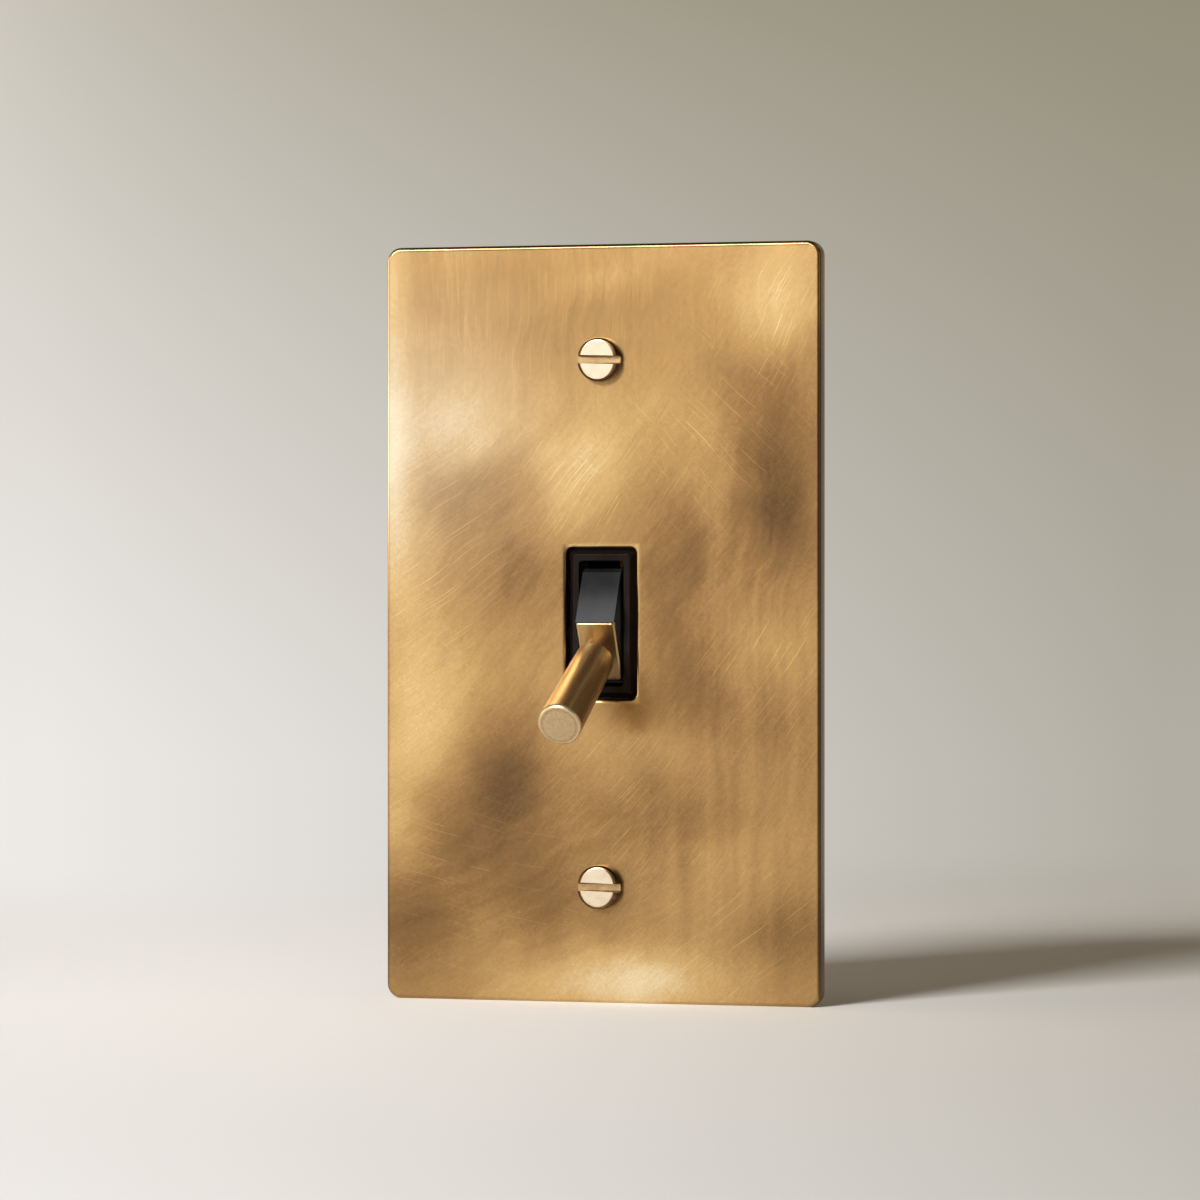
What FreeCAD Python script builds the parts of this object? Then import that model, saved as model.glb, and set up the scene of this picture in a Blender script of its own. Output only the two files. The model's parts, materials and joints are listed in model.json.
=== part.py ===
import FreeCAD, Part
import math
import os

# A two-way brass dolly switch on a one-gang plate.
# Frame: X to the right seen from the front, Y into the wall, Z up.
# The origin is the centre of the plate's back, so the wall lies at Y = 0.

V = FreeCAD.Vector
ALONG_X = V(1, 0, 0)
INTO_WALL = V(0, 1, 0)

# Face plate
plate_width = 71.5
plate_height = 120.0
plate_thickness = 3.0
plate_corner_radius = 2.3
plate_edge_radius = 0.6
aperture_width = 11.6
aperture_height = 24.1
aperture_corner_radius = 1.1
aperture_edge_chamfer = 0.3
box_screw_spacing = 83.34
pocket_gap = 1.0
pocket_corner_radius = 3.0

# Plate screws, each with a neck that a washer between plate and strap holds captive
screw_thread_diameter = 3.5
screw_neck_diameter = 3.0
screw_length = 25.0
screw_head_diameter = 7.0
screw_head_height = 1.9
screw_head_chamfer = 0.35
screw_slot_width = 1.3
screw_slot_depth = 1.0
screw_slot_turn = 1.5
screw_hole_gap = 0.2
washer_side = 8.0
washer_thickness = 0.5
washer_hole_gap = 0.05
washer_side_gap = 0.3

# Mounting strap
strap_thickness = 1.4
strap_recess = 0.1
strap_waist = 15.0
strap_ear_width = 22.0
strap_ear_root = 5.0
strap_ear_tip = 9.0
strap_corner_radius = 3.0
strap_slot_length = 7.0
strap_slot_gap = 0.35
earth_tab_width = 8.0
earth_tab_depth = 11.0
earth_tab_stand_off = 1.0

# Moulded front cover and its collar
body_width = 27.0
body_height = 50.0
body_corner_radius = 2.0
flange_thickness = 2.6
collar_gap = 0.3
collar_bevel_width = 0.85
collar_bevel_drop = 1.3
collar_rim = 0.95
collar_ring_radius = 0.4
collar_recess = 0.1
opening_corner_radius = 0.6
bearing_height = 2.3
bearing_width = 1.9
bearing_length = 6.4
bearing_gap = 0.05

# Moulded rear housing
housing_depth = 21.5
housing_wall = 1.8
housing_floor = 2.0
post_length = 5.2
post_gap = 0.2
web_thickness = 1.6
web_drop = 3.0
housing_edge_chamfer = 1.0
barrier_height = 3.6
barrier_thickness = 1.4
barrier_gap = 0.8
rivet_inset = 4.4
rivet_diameter = 3.0
rivet_head_diameter = 4.8
rivet_clinch_height = 0.8
rivet_clinch_chamfer = 0.4
rivet_boss_diameter = 6.4
rivet_hole_gap = 0.1

# Rocker, its brass cap and the turned lever
half_throw = 27.0
rocker_side_gap = 0.55
rocker_end_gap = 0.6
face_reach = 10.0
flank_angle = 36.0
flank_length = 8.8
flank_edge = 1.2
swing_gap = 0.35
hub_wall = 1.9
hub_waist_angle = 53.0
nose_length = 1.45
nose_stem_diameter = 2.4
cap_thickness = 1.0
cap_lip = 0.2
cap_fit = 0.02
cap_chamfer = 0.25
cap_corner_radius = 0.5
lever_length = 24.3
lever_neck_diameter = 5.0
lever_neck_length = 2.0
lever_shoulder_chamfer = 0.6
lever_root_diameter = 6.2
lever_tip_diameter = 7.0
lever_tip_radius = 0.5
spigot_diameter = 3.0
spigot_hole_gap = 0.1
insert_diameter = 4.6
insert_floor = 2.1
insert_groove_width = 1.0
insert_groove_depth = 0.25
press_gap = 0.02
pin_diameter = 2.5
pin_end_gap = 0.2

# Toggle spring between the rocker's ball and the blade's dome
spring_ball_diameter = 3.2
spring_wire = 0.5
spring_outer_diameter = 3.6
spring_pitch = 1.3
spring_wire_sides = 6
spring_seat_gap = 0.05

# Rocking contact blade
contact_swing = 5.0
contact_reach = 9.5
contact_gap = 0.1
blade_thickness = 0.8
blade_side_gap = 1.2
blade_overhang = 2.2
blade_end_radius = 1.5
bead_diameter = 1.8
bead_gap = 0.1
button_diameter = 3.2
button_height = 0.7
button_upset_diameter = 2.6
button_upset_height = 0.4
button_shank_diameter = 1.8

# Terminals
terminal_thickness = 1.0
terminal_bend_radius = 0.9
terminal_strip_width = 4.0
terminal_strip_overhang = 2.4
terminal_tab_width = 8.0
terminal_tab_height = 12.5
terminal_slot_gap = 0.1
terminal_strip_spacing = 0.9
saddle_height = 3.1
saddle_ear_thickness = 1.0
saddle_ear_length = 5.0
saddle_tilt_room = 0.35
wire_screw_diameter = 3.5
wire_screw_length = 6.0
wire_screw_head_diameter = 7.2
wire_screw_head_height = 2.0
wire_screw_head_chamfer = 0.5
wire_screw_slot_width = 1.2
wire_screw_slot_depth = 0.9
wire_screw_inset = 4.6
wire_screw_gap = 0.05
wire_screw_room = 0.5
clamp_side = 7.4
clamp_thickness = 0.9
clamp_hole_gap = 0.1
earth_flange_height = 0.7
earth_hex_width = 5.5

# Places that follow from the sizes
front_y = -plate_thickness
strap_back_y = -strap_recess
strap_front_y = strap_back_y - strap_thickness
washer_front_y = strap_front_y - washer_thickness
strap_length = box_screw_spacing + 2 * strap_ear_tip
screw_z = box_screw_spacing / 2
cover_back_y = strap_back_y + flange_thickness
body_back_y = cover_back_y + housing_depth
floor_y = body_back_y - housing_floor
rivet_z = body_height / 2 - rivet_inset
collar_width = aperture_width - 2 * collar_gap
collar_height = aperture_height - 2 * collar_gap
collar_front_y = front_y + collar_recess
opening_width = collar_width - 2 * (collar_bevel_width + collar_rim)
opening_height = collar_height - 2 * (collar_bevel_width + collar_rim)
pivot = V(0, cover_back_y + bearing_height, 0)
pin_radius = pin_diameter / 2
bearing_outer_x = opening_width / 2 + bearing_width
throw = math.radians(half_throw)
swing = math.radians(contact_swing)
rocker_width = opening_width - 2 * rocker_side_gap
face_drop = opening_height / 2 - rocker_end_gap
face_half = (face_drop - face_reach * math.sin(throw)) / math.cos(throw)
flank = math.radians(flank_angle)
wing_u = face_reach - flank_length * math.cos(flank)
wing_v = face_half + flank_length * math.sin(flank)
swing_radius = math.hypot(wing_u, wing_v) + swing_gap
hub_radius = pin_radius + hub_wall
nose_reach = hub_radius + nose_length
ball_radius = spring_ball_diameter / 2
insert_back = pin_radius + insert_floor
strip_top_y = floor_y - terminal_thickness
fulcrum = V(0, strip_top_y - saddle_height, 0)
blade_width = opening_width - 2 * blade_side_gap
blade_front_y = fulcrum.y - blade_thickness
tab_inner_x = body_width / 2
tab_outer_x = tab_inner_x + terminal_thickness
tab_top_y = floor_y - terminal_tab_height
wire_screw_y = tab_top_y + wire_screw_inset
common_strip_low = post_length / 2 + terminal_strip_spacing
common_strip_high = contact_reach - terminal_strip_width / 2 - terminal_strip_spacing
common_z = (common_strip_low + common_strip_high) / 2
earth_z = -(body_height / 2 + screw_z - strap_ear_root) / 2
earth_tab_x = strap_waist / 2 + earth_tab_stand_off
earth_y = strap_front_y + earth_tab_depth / 2 + strap_thickness


def block(x0, x1, y0, y1, z0, z1):
    """A box between six limits."""
    return Part.makeBox(x1 - x0, y1 - y0, z1 - z0, V(x0, y0, z0))


def rounded_slab(width, height, radius, y0, y1, z=0.0):
    """A slab facing the room, with its four corners rounded."""
    slab = block(-width / 2, width / 2, y0, y1, z - height / 2, z + height / 2)
    corners = [e for e in slab.Edges if abs(e.tangentAt(e.FirstParameter).y) > 0.99]
    return slab.makeFillet(radius, corners)


def rod_y(diameter, y0, y1, x=0.0, z=0.0):
    """A round bar along Y."""
    return Part.makeCylinder(diameter / 2, y1 - y0, V(x, y0, z), INTO_WALL)


def rod_x(diameter, x0, x1, y=0.0, z=0.0):
    """A round bar along X."""
    return Part.makeCylinder(diameter / 2, x1 - x0, V(x0, y, z), ALONG_X)


def oblong(length, width, y0, y1, z):
    """A slot's outline as a solid, long in X."""
    reach = (length - width) / 2
    middle = block(-reach, reach, y0, y1, z - width / 2, z + width / 2)
    ends = [rod_y(width, y0, y1, side * reach, z) for side in (-1, 1)]
    return middle.fuse(ends).removeSplitter()


def edges_on_y(shape, y, half_width=1e3, half_height=1e3):
    """The edges that lie in one plane facing the room, within an outline."""
    found = []
    for edge in shape.Edges:
        box = edge.BoundBox
        flat = abs(box.YMin - y) < 1e-4 and abs(box.YMax - y) < 1e-4
        inside = max(-box.XMin, box.XMax) < half_width and max(-box.ZMin, box.ZMax) < half_height
        if flat and inside:
            found.append(edge)
    return found


def outline(width, height, radius, y):
    """A rounded rectangle as a wire, facing the room."""
    edges = edges_on_y(rounded_slab(width, height, radius, y, y + 1), y)
    return Part.Wire(Part.sortEdges(edges)[0])


def turned_about_x(shape, centre, degrees):
    """A copy that is turned about a line along X."""
    copy = shape.copy()
    copy.rotate(centre, ALONG_X, degrees)
    return copy


def at_both_screws(make):
    """The same small piece at the upper and the lower box screw."""
    return Part.makeCompound([make(z) for z in (screw_z, -screw_z)])


def face_plate():
    """Solid brass plate, with a milled pocket behind it for the strap."""
    plate = rounded_slab(plate_width, plate_height, plate_corner_radius, front_y, 0)
    plate = plate.makeFillet(plate_edge_radius, edges_on_y(plate, front_y))
    plate = plate.cut(
        rounded_slab(aperture_width, aperture_height, aperture_corner_radius, front_y - 1, 1)
    )
    rim = edges_on_y(plate, front_y, aperture_width / 2 + 0.1, aperture_height / 2 + 0.1)
    plate = plate.makeChamfer(aperture_edge_chamfer, rim)
    pocket = rounded_slab(
        max(body_width, strap_ear_width) + 2 * pocket_gap,
        strap_length + 2 * pocket_gap,
        pocket_corner_radius,
        strap_front_y,
        1,
    )
    hole = screw_thread_diameter + 2 * screw_hole_gap
    recess = washer_side / 2 + washer_side_gap
    cuts = [pocket]
    for z in (screw_z, -screw_z):
        cuts.append(rod_y(hole, front_y - 1, 1, 0, z))
        cuts.append(block(-recess, recess, washer_front_y, 1, z - recess, z + recess))
    return plate.cut(cuts)


def plate_screw(z):
    """Slotted cheese-head screw with a captive neck."""
    head_y = front_y - screw_head_height
    run_out = (screw_thread_diameter - screw_neck_diameter) / 2
    neck_end = -run_out
    tip = front_y + screw_length
    head = rod_y(screw_head_diameter, head_y, front_y, 0, z)
    head = head.makeChamfer(screw_head_chamfer, edges_on_y(head, head_y))
    half = screw_slot_width / 2
    reach = screw_head_diameter
    slot = block(-reach, reach, head_y - 1, head_y + screw_slot_depth, z - half, z + half)
    slot.rotate(V(0, 0, z), INTO_WALL, screw_slot_turn)
    thread = rod_y(screw_thread_diameter, neck_end, tip, 0, z)
    for end in (neck_end, tip):
        thread = thread.makeChamfer(run_out, edges_on_y(thread, end))
    neck = rod_y(screw_neck_diameter, front_y, neck_end, 0, z)
    return head.cut(slot).fuse([neck, thread]).removeSplitter()


def captive_washer(z):
    """Thin square washer on a screw's neck, let into the plate in front of the strap."""
    half = washer_side / 2
    square = block(-half, half, washer_front_y, strap_front_y, z - half, z + half)
    hole = screw_neck_diameter + 2 * washer_hole_gap
    return square.cut(rod_y(hole, washer_front_y - 1, strap_front_y + 1, 0, z))


def mounting_strap():
    """Pressed steel strap with a window, two slotted ears and an earth tab."""
    bridge = rounded_slab(body_width, body_height, body_corner_radius, strap_front_y, strap_back_y)
    waist = block(
        -strap_waist / 2, strap_waist / 2, strap_front_y, strap_back_y, -screw_z, screw_z
    )
    ear_height = strap_ear_root + strap_ear_tip
    ear_z = screw_z + (strap_ear_tip - strap_ear_root) / 2
    ears = [
        rounded_slab(
            strap_ear_width, ear_height, strap_corner_radius, strap_front_y, strap_back_y, z
        )
        for z in (ear_z, -ear_z)
    ]
    half = earth_tab_width / 2
    tab_end = strap_front_y + earth_tab_depth
    arm_end = earth_tab_x + strap_thickness
    arm = block(0, arm_end, strap_front_y, strap_back_y, earth_z - half, earth_z + half)
    tab = block(earth_tab_x, arm_end, strap_front_y, tab_end, earth_z - half, earth_z + half)
    folded = arm.fuse(tab).removeSplitter()
    bend = [
        e
        for e in edges_on_y(folded, strap_front_y)
        if abs(e.BoundBox.XMin - arm_end) < 1e-4
    ]
    folded = folded.makeFillet(strap_thickness, bend)
    strap = bridge.fuse([waist, folded] + ears).removeSplitter()
    window = rounded_slab(
        aperture_width, aperture_height, aperture_corner_radius, strap_front_y - 1, 1
    )
    slot_width = screw_thread_diameter + 2 * strap_slot_gap
    slots = [
        oblong(strap_slot_length, slot_width, strap_front_y - 1, 1, z) for z in (screw_z, -screw_z)
    ]
    seats = [rivet_seat(z) for z in (rivet_z, -rivet_z)]
    earth_hole = rod_x(
        wire_screw_diameter + 2 * wire_screw_gap, earth_tab_x - 1, arm_end + 1, earth_y, earth_z
    )
    return strap.cut([window, earth_hole] + slots + seats)


def rivet_head(z, gap=0.0):
    """Countersunk head of a strap rivet, flush with the strap's front, or its seat with a gap."""
    sink = (rivet_head_diameter - rivet_diameter) / 2
    wide = rivet_head_diameter / 2 + gap
    narrow = rivet_diameter / 2 + gap
    return Part.makeCone(wide, narrow, sink, V(0, strap_front_y, z), INTO_WALL)


def rivet_seat(z):
    """What a rivet takes out of the strap."""
    hole = rivet_diameter + 2 * rivet_hole_gap
    return rivet_head(z, press_gap).fuse(rod_y(hole, strap_front_y - 1, 1, 0, z))


def strap_rivet(z):
    """Long rivet through strap, cover and housing, clinched at the back."""
    shank = rod_y(rivet_diameter, strap_front_y, body_back_y, 0, z)
    back = body_back_y + rivet_clinch_height
    clinch = rod_y(rivet_head_diameter, body_back_y, back, 0, z)
    clinch = clinch.makeChamfer(rivet_clinch_chamfer, edges_on_y(clinch, back))
    return rivet_head(z).fuse([shank, clinch]).removeSplitter()


def strap_rivets():
    """Both rivets."""
    return Part.makeCompound([strap_rivet(z) for z in (rivet_z, -rivet_z)])


def rivet_holes(y0, y1):
    """Clearance holes for the rivets."""
    hole = rivet_diameter + 2 * rivet_hole_gap
    return [rod_y(hole, y0, y1, 0, z) for z in (rivet_z, -rivet_z)]


def pin_bearing():
    """The round seat that the pivot pin runs in."""
    bore = pin_diameter + 2 * bearing_gap
    return rod_x(bore, -bearing_outer_x - 1, bearing_outer_x + 1, pivot.y)


def front_cover():
    """Black moulding: flange, bevelled collar and the front halves of the pin bearings."""
    flange = rounded_slab(body_width, body_height, body_corner_radius, strap_back_y, cover_back_y)
    shoulder_y = collar_front_y + collar_bevel_drop
    collar_radius = aperture_corner_radius - collar_gap
    collar = rounded_slab(collar_width, collar_height, collar_radius, shoulder_y, cover_back_y)
    ring_width = collar_width - 2 * collar_bevel_width
    ring_height = collar_height - 2 * collar_bevel_width
    bevel = Part.makeLoft(
        [
            outline(collar_width, collar_height, collar_radius, shoulder_y),
            outline(ring_width, ring_height, collar_ring_radius, collar_front_y),
        ],
        True,
        True,
    )
    half = bearing_length / 2
    lugs = []
    for side in (-1, 1):
        xs = sorted((side * opening_width / 2, side * bearing_outer_x))
        lugs.append(block(xs[0], xs[1], strap_back_y, pivot.y, -half, half))
    opening = rounded_slab(
        opening_width, opening_height, opening_corner_radius, collar_front_y - 1, pivot.y + 1
    )
    sweep = rod_x(2 * swing_radius, -opening_width / 2, opening_width / 2, pivot.y)
    cover = flange.fuse([collar, bevel] + lugs).removeSplitter()
    holes = rivet_holes(strap_back_y - 1, cover_back_y + 1)
    return cover.cut([opening, sweep, pin_bearing()] + holes)


def wire_screw_sites():
    """Side and height of each wire screw: common on the left, the two ways on the right."""
    return [(-1, common_z), (1, contact_reach), (1, -contact_reach)]


def barriers():
    """Moulded ribs outside the housing, one each side of every wire screw."""
    ribs = []
    start = tab_inner_x - housing_wall / 2
    end = tab_inner_x + barrier_height
    offset = (terminal_tab_width + barrier_thickness) / 2 + barrier_gap
    back = body_back_y - housing_edge_chamfer
    half = barrier_thickness / 2
    for side, z in wire_screw_sites():
        for rib_z in (z - offset, z + offset):
            xs = sorted((side * start, side * end))
            rib = block(xs[0], xs[1], cover_back_y, back, rib_z - half, rib_z + half)
            outer = [e for e in edges_on_y(rib, back) if abs(e.CenterOfMass.x - side * end) < 1e-4]
            ribs.append(rib.makeFillet(barrier_height - terminal_thickness, outer))
    return ribs


def rear_housing():
    """Black moulded box: walls, rivet bosses, pin posts and slots for the terminals."""
    box = rounded_slab(body_width, body_height, body_corner_radius, cover_back_y, body_back_y)
    box = box.makeChamfer(housing_edge_chamfer, edges_on_y(box, body_back_y))
    inner_width = body_width - 2 * housing_wall
    inner_height = body_height - 2 * housing_wall
    room = rounded_slab(
        inner_width, inner_height, body_corner_radius / 2, cover_back_y - 1, floor_y
    )
    box = box.cut(room)
    bosses = [
        rod_y(rivet_boss_diameter, cover_back_y, body_back_y, 0, z) for z in (rivet_z, -rivet_z)
    ]
    post_x = opening_width / 2 + post_gap
    half = post_length / 2
    web = web_thickness / 2
    posts = []
    for side in (-1, 1):
        xs = sorted((side * post_x, side * bearing_outer_x))
        posts.append(block(xs[0], xs[1], pivot.y, floor_y, -half, half))
        xs = sorted((side * bearing_outer_x, side * body_width / 2))
        posts.append(block(xs[0], xs[1], pivot.y + web_drop, floor_y, -web, web))
    box = box.fuse(bosses + posts + barriers()).removeSplitter()
    cuts = [pin_bearing()] + rivet_holes(cover_back_y - 1, body_back_y + 1)
    gap = terminal_slot_gap
    room_diameter = wire_screw_diameter + 2 * wire_screw_room
    for side, z in wire_screw_sites():
        wide = (
            common_strip_high - common_strip_low if side < 0 else terminal_strip_width
        ) / 2 + gap
        xs = sorted((side * inner_width / 2 - side, side * body_width / 2 + side))
        cuts.append(block(xs[0], xs[1], strip_top_y - gap, floor_y, z - wide, z + wide))
        cuts.append(rod_x(room_diameter, xs[0], xs[1], wire_screw_y, z))
    return box.cut(cuts)


def terminal_tab(side, z):
    """The outside tab of a terminal, folded up against the housing's wall."""
    half = terminal_tab_width / 2
    xs = sorted((side * tab_inner_x, side * tab_outer_x))
    tab = block(xs[0], xs[1], tab_top_y, floor_y, z - half, z + half)
    bend = [
        e
        for e in edges_on_y(tab, floor_y)
        if abs(e.BoundBox.XMin - side * tab_outer_x) < 1e-4
        and abs(e.BoundBox.XMax - side * tab_outer_x) < 1e-4
    ]
    tab = tab.makeFillet(terminal_bend_radius, bend)
    hole = wire_screw_diameter + 2 * wire_screw_gap
    return tab.cut(rod_x(hole, xs[0] - 1, xs[1] + 1, wire_screw_y, z))


def way_terminal(z):
    """Brass strip under one end of the blade, with its tab on the right."""
    half = terminal_strip_width / 2
    strip = block(
        -terminal_strip_overhang, tab_inner_x, strip_top_y, floor_y, z - half, z + half
    )
    hole = rod_y(button_shank_diameter + 2 * press_gap, strip_top_y - 1, floor_y + 1, 0, z)
    return strip.fuse(terminal_tab(1, z)).removeSplitter().cut(hole)


def common_terminal():
    """Brass stamping with two saddle ears that carry the blade, and its tab on the left."""
    half = blade_width / 2
    ear_half = saddle_ear_length / 2
    strip = block(
        -tab_inner_x, half, strip_top_y, floor_y, common_strip_low, common_strip_high
    )
    leg = block(-half, half, strip_top_y, floor_y, -ear_half, common_strip_low)
    ear_top = fulcrum.y + saddle_tilt_room
    ears = []
    for side in (-1, 1):
        xs = sorted((side * half, side * (half - saddle_ear_thickness)))
        ears.append(block(xs[0], xs[1], ear_top, strip_top_y, -ear_half, ear_half))
    terminal = strip.fuse([leg, terminal_tab(-1, common_z)] + ears).removeSplitter()
    return terminal.cut(rod_x(bead_diameter + 2 * bead_gap, -half - 1, half + 1, fulcrum.y))


def fixed_contacts():
    """Silver buttons riveted to the two way terminals."""
    reach = contact_reach + button_diameter / 2
    lowest = button_height * math.cos(swing) + reach * math.sin(swing)
    top = fulcrum.y + lowest + contact_gap
    buttons = []
    for z in (contact_reach, -contact_reach):
        head = rod_y(button_diameter, top, strip_top_y, 0, z)
        shank = rod_y(button_shank_diameter, strip_top_y, floor_y, 0, z)
        buttons.append(head.fuse(shank).removeSplitter())
    return Part.makeCompound(buttons)


def clamp(side, z):
    """Square clamp plate under a wire screw."""
    half = clamp_side / 2
    xs = sorted((side * tab_outer_x, side * (tab_outer_x + clamp_thickness)))
    plate = block(xs[0], xs[1], wire_screw_y - half, wire_screw_y + half, z - half, z + half)
    hole = wire_screw_diameter + 2 * clamp_hole_gap
    return plate.cut(rod_x(hole, xs[0] - 1, xs[1] + 1, wire_screw_y, z))


def wire_screw(side, z):
    """Slotted binding screw that holds a wire under its clamp."""
    seat = tab_outer_x + clamp_thickness
    top = seat + wire_screw_head_height
    head = rod_x(wire_screw_head_diameter, seat, top, wire_screw_y, z)
    rim = [e for e in head.Edges if abs(e.BoundBox.XMin - top) < 1e-4]
    head = head.makeChamfer(wire_screw_head_chamfer, rim)
    half = wire_screw_slot_width / 2
    reach = wire_screw_head_diameter
    slot = block(
        top - wire_screw_slot_depth, top + 1, wire_screw_y - reach, wire_screw_y + reach,
        z - half, z + half,
    )
    shank = rod_x(wire_screw_diameter, seat - wire_screw_length, seat, wire_screw_y, z)
    screw = head.cut(slot).fuse(shank).removeSplitter()
    if side < 0:
        screw = screw.mirror(V(0, 0, 0), ALONG_X)
    return screw


def earth_screw():
    """Hexagon washer-head screw in the strap's earth tab."""
    seat = earth_tab_x + strap_thickness
    flange = rod_x(wire_screw_head_diameter, seat, seat + earth_flange_height, earth_y, earth_z)
    corner = earth_hex_width / math.sqrt(3)
    top = seat + earth_flange_height + wire_screw_head_height
    ring = [
        V(seat, earth_y + corner * math.cos(math.radians(a)),
          earth_z + corner * math.sin(math.radians(a)))
        for a in range(0, 420, 60)
    ]
    hexagon = Part.Face(Part.makePolygon(ring)).extrude(V(top - seat, 0, 0))
    half = wire_screw_slot_width / 2
    slot = block(
        top - wire_screw_slot_depth, top + 1, earth_y - corner - 1, earth_y + corner + 1,
        earth_z - half, earth_z + half,
    )
    shank = rod_x(wire_screw_diameter, seat - wire_screw_length, seat, earth_y, earth_z)
    return flange.fuse([hexagon, shank]).cut(slot).removeSplitter()


def in_section(u, v):
    """A point of the dolly's middle section, with the lever level: u outwards, v up."""
    return V(0, pivot.y - u, v)


def tipped(shape):
    """The dolly as it rests, with the lever down."""
    return turned_about_x(shape, pivot, half_throw)


def rocker():
    """Black moulded wedge with a recess for the cap, a pin hole and a ball for the spring."""
    recess = face_reach - cap_thickness
    lip = face_half - cap_lip
    back_u = wing_u - flank_edge
    waist = math.radians(hub_waist_angle)
    upper = [
        in_section(recess, lip),
        in_section(face_reach, lip),
        in_section(face_reach, face_half),
        in_section(wing_u, wing_v),
        in_section(back_u, wing_v),
        in_section(-hub_radius * math.cos(waist), hub_radius * math.sin(waist)),
    ]
    lower = [V(0, p.y, -p.z) for p in reversed(upper)]
    section = Part.Face(Part.makePolygon(upper + lower + upper[:1]))
    wedge = section.extrude(V(rocker_width, 0, 0))
    wedge.translate(V(-rocker_width / 2, 0, 0))
    hub = rod_x(2 * hub_radius, -rocker_width / 2, rocker_width / 2, pivot.y)
    ball_y = pivot.y + nose_reach
    stem = rod_y(nose_stem_diameter, pivot.y + pin_radius, ball_y)
    ball = Part.makeSphere(ball_radius, V(0, ball_y, 0))
    body = wedge.fuse([hub, stem, ball]).removeSplitter()
    socket = rod_y(
        insert_diameter + 2 * press_gap, pivot.y - recess - 1, pivot.y - insert_back
    )
    pin_hole = rod_x(pin_diameter + 2 * press_gap, -rocker_width, rocker_width, pivot.y)
    return tipped(body.cut([socket, pin_hole]))


def dolly_cap():
    """Brass cap let into the rocker's face."""
    y0 = pivot.y - face_reach
    y1 = y0 + cap_thickness
    height = 2 * (face_half - cap_lip - cap_fit)
    cap = rounded_slab(rocker_width, height, cap_corner_radius, y0, y1)
    cap = cap.makeChamfer(cap_chamfer, edges_on_y(cap, y0))
    hole = rod_y(spigot_diameter + 2 * spigot_hole_gap, y0 - 1, y1 + 1)
    return tipped(cap.cut(hole))


def dolly_lever():
    """Turned brass lever: spigot, neck, chamfered shoulder and a rod that swells to its tip."""
    y_face = pivot.y - face_reach
    y_neck = y_face - lever_neck_length
    y_tip = y_face - lever_length
    neck = lever_neck_diameter / 2
    root = lever_root_diameter / 2
    tip = lever_tip_diameter / 2
    spigot = spigot_diameter / 2
    spigot_end = pivot.y - insert_back
    bow = 1 - math.sqrt(0.5)
    shoulder = min(lever_shoulder_chamfer, root - neck)
    round_tip = lever_tip_radius

    def at(radius, y):
        return V(radius, y, 0)

    path = [
        (at(0, spigot_end), None, at(spigot, spigot_end)),
        (at(spigot, spigot_end), None, at(spigot, y_face)),
        (at(spigot, y_face), None, at(neck, y_face)),
        (at(neck, y_face), None, at(neck, y_neck)),
        (at(neck, y_neck), None, at(root - shoulder, y_neck)),
        (at(root - shoulder, y_neck), None, at(root, y_neck - shoulder)),
        (at(root, y_neck - shoulder), None, at(tip, y_tip + round_tip)),
        (
            at(tip, y_tip + round_tip),
            at(tip - round_tip * bow, y_tip + round_tip * bow),
            at(tip - round_tip, y_tip),
        ),
        (at(tip - round_tip, y_tip), None, at(0, y_tip)),
        (at(0, y_tip), None, at(0, spigot_end)),
    ]
    edges = []
    for start, middle, end in path:
        if (end - start).Length < 1e-6:
            continue
        curve = Part.Arc(start, middle, end) if middle else Part.LineSegment(start, end)
        edges.append(curve.toShape())
    profile = Part.Face(Part.Wire(edges))
    return tipped(profile.revolve(V(0, 0, 0), INTO_WALL, 360))


def lever_insert():
    """Brass bush in the rocker that the lever's spigot screws into."""
    y0 = pivot.y - face_reach + cap_thickness
    y1 = pivot.y - insert_back
    bush = rod_y(insert_diameter, y0, y1)
    middle = (y0 + y1) / 2
    half = insert_groove_width / 2
    core = rod_y(insert_diameter - 2 * insert_groove_depth, middle - half, middle + half)
    groove = rod_y(insert_diameter + 1, middle - half, middle + half).cut(core)
    hole = rod_y(spigot_diameter + 2 * press_gap, y0 - 1, y1 + 1)
    return tipped(bush.cut([groove, hole]))


def pivot_pin():
    """Steel pin that the dolly turns on."""
    half = bearing_outer_x - pin_end_gap
    pin = rod_x(pin_diameter, -half, half, pivot.y)
    return tipped(pin.makeChamfer(pin_end_gap, pin.Edges))


def contact_blade():
    """Copper see-saw blade with a bead to rock on and a dome under the spring."""
    half_length = contact_reach + blade_overhang
    blade = rounded_slab(blade_width, 2 * half_length, blade_end_radius, blade_front_y, fulcrum.y)
    middle_y = (blade_front_y + fulcrum.y) / 2
    far = fulcrum.y + bead_diameter
    bead = rod_x(bead_diameter, -blade_width / 2, blade_width / 2, fulcrum.y)
    bead = bead.common(block(-blade_width, blade_width, middle_y, far, -far, far))
    dome = Part.makeSphere(ball_radius, V(0, blade_front_y, 0))
    near = blade_front_y - 2 * ball_radius
    dome = dome.common(block(-blade_width, blade_width, near, middle_y, -far, far))
    blade = blade.fuse([bead, dome]).removeSplitter()
    hole = button_shank_diameter + 2 * press_gap
    holes = [
        rod_y(hole, blade_front_y - 1, fulcrum.y + 1, 0, z) for z in (contact_reach, -contact_reach)
    ]
    return turned_about_x(blade.cut(holes), fulcrum, contact_swing)


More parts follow.
